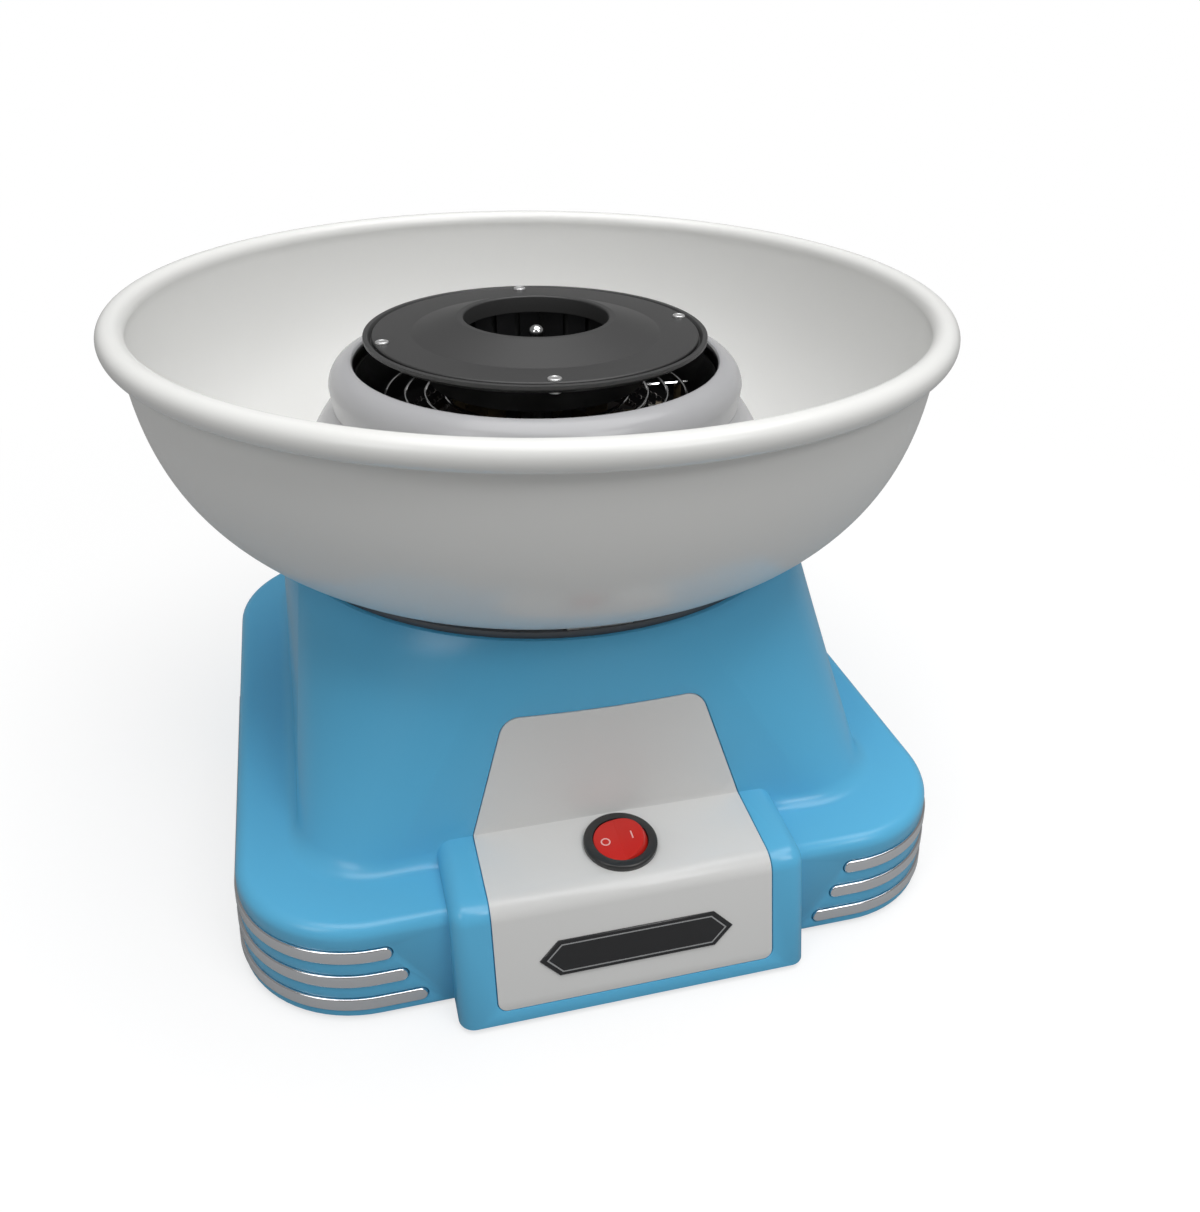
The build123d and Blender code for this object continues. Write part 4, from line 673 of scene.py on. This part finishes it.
def dressed_copy(node, finish, bevel, segments=3, limit=30.0):
    """Copy of a CAD node with its triangles merged and its edges rounded, standing for the node."""
    source = frame["nodes"][node]
    shape = bmesh.new()
    shape.from_mesh(source.data)
    bmesh.ops.remove_doubles(shape, verts=shape.verts, dist=CAD_WELD)
    bmesh.ops.dissolve_limit(
        shape, angle_limit=CAD_FLAT, use_dissolve_boundaries=False, verts=shape.verts, edges=shape.edges
    )
    holder = link_new(node + "_holder", mesh_of(node + "_dressed", shape))
    rounding = holder.modifiers.new("edge_rounding", "BEVEL")
    rounding.width = bevel
    rounding.segments = segments
    rounding.limit_method = "ANGLE"
    rounding.angle_limit = radians(limit)
    rounding.use_clamp_overlap = True
    mesh = baked_mesh(holder)
    return make_skin(node + "_dressed", mesh, finish, source["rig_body"], node)


def tube(name, points, radius, sides):
    """Mesh tube along points, its sides a multiple of four."""
    curve = bpy.data.curves.new(name, "CURVE")
    curve.dimensions = "3D"
    curve.bevel_depth = radius
    curve.bevel_resolution = max(0, sides // 4 - 1)
    curve.use_fill_caps = True
    line = curve.splines.new("POLY")
    line.points.add(len(points) - 1)
    for target, point in zip(line.points, points):
        target.co = (*point, 1.0)
    holder = link_new(name, curve)
    return baked_mesh(holder)


def plaque_mesh(name, wide, high, stroke, low, top):
    """Flat plaque with pointed ends, or only its outline where a stroke is given."""
    shape = bmesh.new()

    def outline(inset, z):
        half_wide, half_high = wide / 2 - inset * PLAQUE_POINT, high / 2 - inset
        flat = half_wide - half_high
        right = ((half_wide, 0), (flat, half_high))
        left = ((-flat, half_high), (-half_wide, 0), (-flat, -half_high))
        corners = (*right, *left, (flat, -half_high))
        return [shape.verts.new((x, y, z)) for x, y in corners]

    if stroke:
        rims = [outline(0, low), outline(0, top), outline(stroke, top), outline(stroke, low)]
        pairs = zip(rims, rims[1:] + rims[:1])
    else:
        rims = [outline(0, low), outline(0, top - PLAQUE_EDGE), outline(PLAQUE_EDGE, top)]
        pairs = zip(rims, rims[1:])
        for rim in (rims[0], rims[-1]):
            shape.faces.new(rim)
    for near, far in pairs:
        for k in range(6):
            shape.faces.new((near[k], near[(k + 1) % 6], far[(k + 1) % 6], far[k]))
    bmesh.ops.recalc_face_normals(shape, faces=shape.faces)
    return mesh_of(name, shape)


def joined(name, meshes):
    """One mesh from several."""
    shape = bmesh.new()
    for mesh in meshes:
        shape.from_mesh(mesh)
        bpy.data.meshes.remove(mesh)
    return mesh_of(name, shape)


def block_mesh(name, size, rise, rounding=0.0):
    """Rounded block about its own Z axis, its middle at one height."""
    shape = bmesh.new()
    bmesh.ops.create_cube(shape, size=1.0)
    for vertex in shape.verts:
        vertex.co = Vector(vertex.co[k] * size[k] for k in range(3)) + Vector((0, 0, rise))
    if rounding:
        bmesh.ops.bevel(shape, geom=shape.edges[:], offset=rounding, segments=3, profile=0.5, affect="EDGES")
    return mesh_of(name, shape)


def polar(radius, turn, height=0.0):
    return Vector((radius * cos(turn), radius * sin(turn), height))


# ---------------------------------------------------------------- Geometry Nodes


class NodeGraph:
    """A Geometry Nodes tree with named inputs, and a method that adds and links nodes."""

    def __init__(self, name, inputs):
        self.tree = bpy.data.node_groups.new(name, "GeometryNodeTree")
        face = self.tree.interface
        face.new_socket("Geometry", in_out="INPUT", socket_type="NodeSocketGeometry")
        for label, kind in inputs.items():
            face.new_socket(label, in_out="INPUT", socket_type="NodeSocket" + kind)
        face.new_socket("Geometry", in_out="OUTPUT", socket_type="NodeSocketGeometry")
        self.entry = self.tree.nodes.new("NodeGroupInput")
        self.exit = self.tree.nodes.new("NodeGroupOutput")

    def given(self, label):
        return self.entry.outputs[label]

    def node(self, kind, settings=None, sockets=None, out=0):
        made = self.tree.nodes.new(kind)
        for key, value in (settings or {}).items():
            setattr(made, key, value)
        for key, value in (sockets or {}).items():
            if isinstance(value, bpy.types.NodeSocket):
                self.tree.links.new(value, made.inputs[key])
            else:
                made.inputs[key].default_value = value
        return made.outputs[out]

    def end(self, geometry, finish):
        real = self.node("GeometryNodeRealizeInstances", sockets={"Geometry": geometry})
        coated = self.node("GeometryNodeSetMaterial", sockets={"Geometry": real, "Material": finish})
        self.tree.links.new(coated, self.exit.inputs["Geometry"])
        return self

    def run(self, name, carrier, values):
        """The tree's result on a carrier mesh, as plain mesh data."""
        holder = link_new(name, carrier)
        modifier = holder.modifiers.new(self.tree.name, "NODES")
        modifier.node_group = self.tree
        for item in self.tree.interface.items_tree:
            if item.in_out == "INPUT" and item.name in values:
                modifier[item.identifier] = values[item.name]
        return baked_mesh(holder)


def copies_graph():
    """Sets a copy of one piece on each point, turned to face away from the bowl's axis."""
    graph = NodeGraph("copies_on_points", {"Piece": "Object", "Finish": "Material"})
    piece = graph.node("GeometryNodeObjectInfo", sockets={"Object": graph.given("Piece")}, out="Geometry")
    where = graph.node("GeometryNodeInputPosition")
    split = graph.node("ShaderNodeSeparateXYZ", sockets={0: where})
    turn = graph.node(
        "ShaderNodeMath", {"operation": "ARCTAN2"}, {0: split.node.outputs[1], 1: split.node.outputs[0]}
    )
    aim = graph.node("ShaderNodeCombineXYZ", sockets={2: turn})
    copies = graph.node(
        "GeometryNodeInstanceOnPoints",
        sockets={"Points": graph.given("Geometry"), "Instance": piece, "Rotation": aim},
    )
    return graph.end(copies, graph.given("Finish"))


def rings_graph():
    """Wire rings about Z at one height, each one step larger than the last."""
    lengths = dict.fromkeys(("First", "Step", "Wire", "Height"), "Float")
    graph = NodeGraph("wire_rings", {"Count": "Int", **lengths, "Finish": "Material"})
    count = graph.given("Count")
    places = graph.node("GeometryNodeMeshLine", {"mode": "OFFSET"}, {"Count": count, "Offset": (0, 0, 0)})
    height = graph.node("ShaderNodeCombineXYZ", sockets={2: graph.given("Height")})
    places = graph.node("GeometryNodeSetPosition", sockets={"Geometry": places, "Offset": height})
    circle = graph.node("GeometryNodeCurvePrimitiveCircle", sockets={"Resolution": 160, "Radius": 1.0})
    index = graph.node("GeometryNodeInputIndex")
    growth = {0: index, 1: graph.given("Step"), 2: graph.given("First")}
    grown = graph.node("ShaderNodeMath", {"operation": "MULTIPLY_ADD"}, growth)
    scale = graph.node("ShaderNodeCombineXYZ", sockets={0: grown, 1: grown, 2: 1.0})
    copies = graph.node(
        "GeometryNodeInstanceOnPoints", sockets={"Points": places, "Instance": circle, "Scale": scale}
    )
    real = graph.node("GeometryNodeRealizeInstances", sockets={"Geometry": copies})
    profile = graph.node(
        "GeometryNodeCurvePrimitiveCircle", sockets={"Resolution": 10, "Radius": graph.given("Wire")}
    )
    wires = graph.node("GeometryNodeCurveToMesh", sockets={"Curve": real, "Profile Curve": profile})
    return graph.end(wires, graph.given("Finish"))


def point_carrier(name, points):
    mesh = bpy.data.meshes.new(name)
    mesh.from_pydata([tuple(point) for point in points], [], [])
    return mesh


def copies_of(name, mesh, points, finish):
    """One mesh with a copy of another at each point, made by the copies tree."""
    source = link_new(name + "_source", mesh)
    values = {"Piece": source, "Finish": bpy.data.materials[finish]}
    made = copies_graph().run(name, point_carrier(name + "_points", points), values)
    bpy.data.objects.remove(source)
    bpy.data.meshes.remove(mesh)
    return made


# ---------------------------------------------------------------- pieces


class CandyOperator:
    """Settings that every operator here shares."""

    bl_options = {"REGISTER", "UNDO"}


class CANDY_OT_finishes(CandyOperator, Operator):
    """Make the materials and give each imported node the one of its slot"""

    bl_idname = "candy.finishes"
    bl_label = "Finishes"

    def execute(self, context):
        made = make_finishes()
        for row in frame["record"]["subparts"]:
            node = frame["nodes"][row["node"]]
            node.data.materials.clear()
            node.data.materials.append(made[row["material_slot"]])
        return {"FINISHED"}


class CANDY_OT_base(CandyOperator, Operator):
    """Dress the base shell, folded plate, chrome strips, gland and deck, and set the plaque"""

    bl_idname = "candy.base"
    bl_label = "Base"

    strip_rounding: length("Strip rounding", "Edge radius of a strip", 0.55)
    front_foot: length("Front foot", "Place of the front wall's foot", -146.0)
    front_run: length("Front run", "How far the front wall leans back", 9.7)
    front_rise: length("Front rise", "Height of the front wall", 38.7)
    front_low: length("Front low", "Height of the front wall's foot above the table", 2.0)
    plaque_sunk: length("Plaque depth", "How far the plaque lies in the plate", 0.3)
    plaque_proud: length("Plaque height", "Height of the plaque over the plate", 0.55)
    line_inset: length("Line inset", "How far the raised line lies inside the plaque's long edges", 1.2)
    line_end_inset: length("Line end inset", "How far it lies inside the plaque's pointed ends", 2.1)
    line_stroke: length("Line stroke", "Width of the raised line", 0.4)
    line_low: length("Line foot", "Height over the plate at which the raised line starts", 0.2)
    line_top: length("Line top", "Height of the raised line over the plate", 0.63)

    def execute(self, context):
        dressed_copy("base_shell", "blue_shell", 0.3 * MM, segments=2, limit=35.0)
        dressed_copy("faceplate", "plate_grey", 0.25 * MM, segments=2, limit=40.0)
        for side in ("left", "right"):
            for level in ("upper", "middle", "lower"):
                strip = f"trim_{side}_{level}"
                dressed_copy(strip, "trim_chrome", self.strip_rounding, segments=4, limit=40.0)
        dressed_copy("cord_gland", "gland_black", 0.25 * MM, segments=2)
        # Deck: its dark finish partly paints the shade in the gap under the bowl
        dressed_copy("deck", "deck_grey", 0.3 * MM, segments=2, limit=40.0)
        self.badge(sizes())
        return {"FINISHED"}

    def badge(self, size):
        """Bare six-sided plaque on the leaning front plate, with a raised line inside its edge."""
        lean = atan2(self.front_run, self.front_rise)
        centre_y = self.front_foot + (size.badge_rise - self.front_low) * tan(lean)
        centre = Vector((0.0, centre_y, size.badge_rise))
        place = Matrix.Translation(centre) @ Matrix.Rotation(pi / 2 - lean, 4, "X")
        wide, high = size.badge_width, size.badge_height
        plaque = plaque_mesh("badge", wide, high, 0.0, -self.plaque_sunk, self.plaque_proud)
        wide -= 2 * self.line_end_inset
        high -= 2 * self.line_inset
        line = plaque_mesh("badge_line", wide, high, self.line_stroke, self.line_low, self.line_top)
        for name, mesh, finish in (("badge", plaque, "badge_grey"), ("badge_line", line, "badge_silver")):
            mesh.transform(place)
            make_object(name, mesh, finish, "base")


class CANDY_OT_switch(CandyOperator, Operator):
    """Dress the round switch and draw the marks on its rocker"""

    bl_idname = "candy.switch"
    bl_label = "Rocker switch"

    switch_y: length("Switch Y", "Place of the switch along Y", -119.2)
    switch_z: length("Switch Z", "Height of the panel at the switch", 42.09)
    panel_rise: number("Panel rise", "Rise of the panel towards the tower, per length", 0.08136)
    pivot_depth: length("Pivot depth", "Depth of the pivot", 1.2)
    crown: length("Crown", "Height of the crease over the pivot", 2.9)
    facet_angle: angle("Facet angle", "Slope of each half", 10.0)
    mark_reach: length("Mark reach", "Mark's distance from the crease", 4.3)
    ring_radius: length("Ring radius", "Radius of the ring mark", 1.55)
    stroke: length("Stroke", "Width of the marks' lines", 0.42)
    mark_sunk: length("Mark depth", "Depth of the marks in the cap", 0.15)
    mark_proud: length("Mark height", "Height of the marks over the cap", 0.04)

    def execute(self, context):
        dressed_copy("switch_housing", "switch_black", 0.2 * MM, segments=2, limit=40.0)
        dressed_copy("switch_rocker", "switch_red", 0.25 * MM, segments=3, limit=15.0)
        make_object("rocker_marks", self.marks(), "rocker_marks", "rocker")
        return {"FINISHED"}

    def marks(self):
        """Ring on the pressed half and bar on the raised half, sunk a little into the two facets."""
        sunk, proud = self.mark_sunk, self.mark_proud
        inner, outer = self.ring_radius - self.stroke, self.ring_radius
        profile = [(inner, -sunk), (outer, -sunk), (outer, proud), (inner, proud)]
        ring = lathed("ring_mark", profile, steps=48)
        bar = block_mesh("bar_mark", (self.stroke, 2 * outer, sunk + proud), (proud - sunk) / 2)
        lean = self.facet_angle
        centre = Vector((0, self.switch_y, self.switch_z))
        panel = Matrix.Translation(centre) @ Matrix.Rotation(atan2(self.panel_rise, 1.0), 4, "X")
        pivot = panel @ Matrix.Translation((0, 0, -self.pivot_depth)) @ Matrix.Rotation(-lean, 4, "Y")
        for mesh, side in ((ring, -1), (bar, 1)):
            reach = self.mark_reach
            place = Matrix.Translation((side * reach, 0, self.crown + reach * tan(lean)))
            mesh.transform(pivot @ place @ Matrix.Rotation(-side * lean, 4, "Y"))
        return joined("rocker_marks", [ring, bar])


class CANDY_OT_bowl(CandyOperator, Operator):
    """Turn the bowl with its rolled rim and set its seat lugs"""

    bl_idname = "candy.bowl"
    bl_label = "Bowl"

    lug_depth: length("Lug depth", "How far the seat lugs reach down", 1.4)
    lug_root: length("Lug root", "How far the seat lugs reach up into the bowl's wall", 1.0)
    lug_width: length("Lug width", "Width of a seat lug, outwards", 2.6)
    lug_length: length("Lug length", "Length of a seat lug, along the bowl", 21.0)
    lug_inset: length("Lug inset", "Distance of the lugs' middle from the bowl's hole", 2.2)

    def execute(self, context):
        size = sizes()
        low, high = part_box("bowl")
        foot = low.z + self.lug_depth
        curve_z = foot + size.bowl_depth
        rim = high.x
        wall = size.bowl_wall
        steps = 40
        outside, inside = [], []
        for k in range(steps + 1):
            turn = pi / 2 * k / steps
            share = sin(turn) - size.bowl_cone * sin(turn) * (1 - sin(turn)) ** 2
            for line, cut in ((outside, 0.0), (inside, wall)):
                reach, depth = size.bowl_width - cut, size.bowl_depth - cut
                line.append((size.bowl_centre + reach * share, curve_z - depth * cos(turn)))
        root = (rim - 1.5 * MM, curve_z + 0.05 * MM)
        side = (rim - 0.03 * MM, curve_z + 3.2 * MM)
        crest = (rim - 4.3 * MM, high.z - 0.02 * MM)
        brow = (size.rim_inner + 0.9 * MM, high.z - 1.3 * MM)
        edge = (size.rim_inner + 0.35 * MM, curve_z + 2.2 * MM)
        outline = list(outside)
        outline += [(outside[-1][0] + 0.5 * MM, curve_z - 0.35 * MM), (rim - 2.6 * MM, curve_z - 0.4 * MM)]
        outline += arc_points(root, side, crest, 14)
        outline += arc_points(crest, brow, edge, 12)[1:]
        outline += list(reversed(inside))
        outline += rounded(
            (
                (size.bowl_hole, foot + wall, 0.6 * MM),
                (size.bowl_hole, foot, 0.6 * MM),
                (size.bowl_centre, foot, 0),
                (size.bowl_centre, foot + wall, 0),
            )
        )[:-2]
        dish = lathed("bowl_skin", outline, steps=BOWL_STEPS)
        lug = self.seat_lug()
        points = [polar(size.bowl_hole + self.lug_inset, radians(turn), foot) for turn in LUG_TURNS]
        lugs = copies_of("bowl_lugs", lug, points, "bowl_white")
        whole = joined("bowl_skin", [dish, lugs])
        make_skin("bowl_skin", whole, "bowl_white", "bowl", "bowl")
        return {"FINISHED"}

    def seat_lug(self):
        """Small lug drawn about its own root, long across and rounded below."""
        depth = self.lug_depth + self.lug_root
        middle = (self.lug_root - self.lug_depth) / 2
        return block_mesh("seat_lug", (self.lug_width, self.lug_length, depth), middle, 0.5 * MM)


class CANDY_OT_housing(CandyOperator, Operator):
    """Turn the heater housing and the wind ring"""

    bl_idname = "candy.housing"
    bl_label = "Heater housing"

    def execute(self, context):
        size = sizes()
        low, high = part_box("heater_housing")
        wall = size.ring_wall
        foot = (high.x - 0.1 * MM, low.z)
        top = (size.housing_top, high.z)
        belly = (size.housing_belly, low.z + size.housing_rise)
        outside = arc_points((foot[0], low.z + size.housing_skirt), belly, top, 26)
        inside = [(p[0] - wall, p[1]) for p in reversed(outside)]
        inside[0] = (top[0] - wall, top[1])
        outline = [foot, *outside, *inside, (foot[0] - wall, low.z)]
        grey = "ring_grey"
        dome = lathed("housing_skin", outline)
        make_skin("housing_skin", dome, grey, "base", "heater_housing")
        ring_low, ring_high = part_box("wind_ring")
        seam = ring_low.z + size.ring_spigot
        wide = ring_high.x
        lip_z = ring_high.z - 0.9 * MM
        shoulder = (size.housing_top - size.ring_shoulder, seam + size.ring_shoulder_rise)
        crest = (size.ring_lip + 0.9 * MM, ring_high.z - 0.02 * MM)
        crown = arc_points((wide - 0.02 * MM, seam + size.ring_widest), shoulder, crest, 16)
        spigot = size.housing_top - wall - 0.1 * MM
        outline = [
            (size.housing_top - 0.25 * MM, seam),
            (size.housing_top, seam + 0.25 * MM),
            *crown,
            (size.ring_lip + 0.4 * MM, ring_high.z - 0.25 * MM),
            (size.ring_lip, lip_z),
            (size.ring_lip + 0.1 * MM, lip_z - wall * 0.6),
            (size.ring_lip + 1.2 * MM, lip_z - wall * 0.8),
            *((p[0] - wall * 0.9, p[1] - wall * 0.5) for p in reversed(crown[:-4])),
            (spigot - 1.0 * MM, ring_low.z),
            (spigot, ring_low.z),
            (spigot, seam),
        ]
        make_skin("ring_skin", lathed("ring_skin", outline), grey, "base", "wind_ring")
        return {"FINISHED"}


class CANDY_OT_head(CandyOperator, Operator):
    """Turn the two halves of the spinner head and set its rivets"""

    bl_idname = "candy.head"
    bl_label = "Spinner head"

    def execute(self, context):
        size = sizes()
        low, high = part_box("head_plate")
        edge = high.x
        step = high.z - size.collar_height
        outline = rounded(
            (
                (size.collar_hole, low.z, 0.3 * MM),
                (edge, low.z, 0.3 * MM),
                (edge, step, 0.6 * MM),
                (size.collar_foot, step, 3.0 * MM),
                (size.collar_hole + 2.2 * MM, high.z - 0.1 * MM, 1.4 * MM),
                (size.collar_hole, high.z - 0.1 * MM, 0.7 * MM),
            ),
            steps=8,
        )
        plate = lathed("head_plate_skin", outline)
        make_skin("head_plate_skin", plate, "head_black", "head", "head_plate")
        dressed_copy("head_pan", "head_black", 0.3 * MM, segments=2)
        self.rivets(size)
        return {"FINISHED"}

    def rivets(self, size):
        low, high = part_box("head_rivets")
        head, radius, spacer = size.rivet_height, size.rivet_head, size.rivet_spacer
        outline = rounded(
            (
                (0.0, low.z, 0),
                (spacer, low.z, 0.2 * MM),
                (spacer, low.z + head, 0),
                (spacer, high.z - head - 0.02 * MM, 0),
                (radius, high.z - head, 0.15 * MM),
                (radius - 0.15 * MM, high.z - 0.12 * MM, 0.3 * MM),
                (1.5 * MM, high.z, 0.2 * MM),
                (1.2 * MM, high.z - 0.16 * MM, 0.1 * MM),
                (0.0, high.z - 0.16 * MM, 0),
            ),
            steps=3,
        )
        rivet = lathed("rivet", outline, steps=24)
        places = [polar(size.rivet_circle, radians(turn)) for turn in RIVET_TURNS]
        mesh = copies_of("rivets", rivet, places, "rivet_aluminium")
        make_skin("rivets", mesh, "rivet_aluminium", "head", "head_rivets")


class CANDY_OT_heater(CandyOperator, Operator):
    """Bend the guard wires and wind the heating coil"""

    bl_idname = "candy.heater"
    bl_label = "Heater"

    def execute(self, context):
        size = sizes()
        low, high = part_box("wire_guard")
        wire = size.guard_wire
        rings = rings_graph().run(
            "guard_rings",
            point_carrier("guard_point", [(0, 0, 0)]),
            {
                "Count": size.guard_count,
                "First": size.guard_first,
                "Step": size.guard_step,
                "Wire": wire,
                "Height": high.z - wire,
                "Finish": bpy.data.materials["bright_wire"],
            },
        )
        struts = []
        for k in range(3):
            turn = radians(120 * k)
            start = polar(size.guard_first - 0.8 * MM, turn, low.z + wire)
            end = polar(size.strut_reach, turn, low.z + wire)
            struts.append(tube(f"strut_{k}", [start, end], wire, sides=8))
        whole = joined("guard_wires", [rings, *struts])
        make_skin("guard_wires", whole, "bright_wire", "base", "wire_guard")
        self.coil(size)
        return {"FINISHED"}

    def coil(self, size):
        """Fine helix wound along the flat spiral of the heating wire."""
        low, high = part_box("heating_wire")
        axis_z = (low.z + high.z) / 2
        helix = (high.z - low.z) / 2 - 0.15 * MM
        per_turn = 10
        total = size.coil_turns * per_turn
        points = []
        for k in range(total + 1):
            share = k / total
            turn = pi * size.coil_rounds * share
            radius = size.coil_outer - size.coil_pitch * turn / (2 * pi)
            spin = 2 * pi * k / per_turn
            points.append(polar(radius + helix * cos(spin), turn, axis_z + helix * sin(spin)))
        mesh = tube("coil_wire", points, size.coil_wire, sides=4)
        make_skin("coil_wire", mesh, "heating_steel", "base", "heating_wire")


def add_light(name, place, target, wide, high, power):
    """Soft rectangular lamp aimed at a point."""
    data = bpy.data.lights.new(name, "AREA")
    data.shape = "RECTANGLE"
    data.size = wide
    data.size_y = high
    data.energy = power
    lamp = link_new(name, data)
    lamp.location = place
    lamp.rotation_euler = (Vector(target) - Vector(place)).to_track_quat("-Z", "Y").to_euler()
    return lamp


def add_world(strength):
    world = bpy.data.worlds.new("studio")
    bpy.context.scene.world = world
    world.use_nodes = True
    tree = world.node_tree
    lit = tree.nodes["Background"]
    lit.inputs["Color"].default_value = (1.0, 1.0, 1.0, 1.0)
    lit.inputs["Strength"].default_value = strength
    shown = tree.nodes.new("ShaderNodeBackground")
    shown.inputs["Color"].default_value = (1.0, 1.0, 1.0, 1.0)
    rays = tree.nodes.new("ShaderNodeLightPath")
    seen = Flow(tree, rays.outputs["Is Camera Ray"])
    seen = seen.most(Flow(tree, rays.outputs["Is Transmission Ray"]))
    mixer = tree.nodes.new("ShaderNodeMixShader")
    tree.links.new(seen.socket, mixer.inputs[0])
    tree.links.new(lit.outputs[0], mixer.inputs[1])
    tree.links.new(shown.outputs[0], mixer.inputs[2])
    tree.links.new(mixer.outputs[0], tree.nodes["World Output"].inputs["Surface"])


def add_camera(stage):
    """Camera at the photograph's place, from its yaw, pitch and roll."""
    ahead = cos(stage.pitch)
    forward = Vector((sin(stage.yaw) * ahead, cos(stage.yaw) * ahead, -sin(stage.pitch)))
    level = Vector((cos(stage.yaw), -sin(stage.yaw), 0.0))
    upright = level.cross(forward)
    right = level * cos(stage.roll) + upright * sin(stage.roll)
    up = upright * cos(stage.roll) - level * sin(stage.roll)
    data = bpy.data.cameras.new("photo_camera")
    data.sensor_fit = "AUTO"
    data.sensor_width = 36.0
    data.lens = stage.lens
    data.clip_start = 0.01
    camera = link_new("photo_camera", data)
    turn = Matrix((right, up, -forward)).transposed().to_4x4()
    camera.matrix_world = Matrix.Translation((stage.camera_x, stage.camera_y, stage.camera_z)) @ turn
    bpy.context.scene.camera = camera


class CANDY_OT_stage(CandyOperator, Operator):
    """Lay the floor, hang the lamps and set the camera"""

    bl_idname = "candy.stage"
    bl_label = "Stage"

    def execute(self, context):
        stage = context.scene.candy_stage
        shape = bmesh.new()
        bmesh.ops.create_grid(shape, x_segments=24, y_segments=24, size=stage.floor_size)
        mesh = mesh_of("floor", shape)
        floor = link_new("floor", mesh)
        mesh.materials.append(pale_floor("floor", colours().floor, stage))
        target = (0.0, 0.0, 0.08)
        add_light("top", (0.15, -0.1, 1.6), target, 1.6, 1.6, stage.top_power)
        add_light("key", (0.5, -0.9, 1.0), target, 0.5, 0.35, stage.key_power)
        add_light("fill", (-0.8, -0.6, 0.9), target, 0.4, 0.5, stage.fill_power)
        add_world(stage.world_strength)
        add_camera(stage)
        context.scene.view_settings.view_transform = "Standard"
        return {"FINISHED"}


BUILD_STEPS = (
    CANDY_OT_finishes,
    CANDY_OT_base,
    CANDY_OT_switch,
    CANDY_OT_bowl,
    CANDY_OT_housing,
    CANDY_OT_head,
    CANDY_OT_heater,
    CANDY_OT_stage,
)


class CANDY_PT_machine(Panel):
    """Lists the machine's sizes, colours and build steps"""

    bl_idname = "CANDY_PT_machine"
    bl_label = "Cotton Candy Machine"
    bl_space_type = "VIEW_3D"
    bl_region_type = "UI"
    bl_category = "Candy Machine"

    def draw(self, context):
        layout = self.layout
        for step in BUILD_STEPS:
            layout.operator(step.bl_idname)
        for group in (context.scene.candy_sizes, context.scene.candy_colours, context.scene.candy_stage):
            box = layout.box()
            for name in group.bl_rna.properties.keys():
                if name not in {"rna_type", "name"}:
                    box.prop(group, name)


CLASSES = (CandyColours, CandySizes, CandyStage, *BUILD_STEPS, CANDY_PT_machine)


def register():
    for kind in CLASSES:
        bpy.utils.register_class(kind)
    bpy.types.Scene.candy_colours = PointerProperty(type=CandyColours)
    bpy.types.Scene.candy_sizes = PointerProperty(type=CandySizes)
    bpy.types.Scene.candy_stage = PointerProperty(type=CandyStage)


def unregister():
    del bpy.types.Scene.candy_stage
    del bpy.types.Scene.candy_sizes
    del bpy.types.Scene.candy_colours
    for kind in reversed(CLASSES):
        bpy.utils.unregister_class(kind)


def main():
    register()
    for step in BUILD_STEPS:
        getattr(bpy.ops.candy, step.bl_idname.split(".")[1])()


if __name__ == "__main__":
    main()
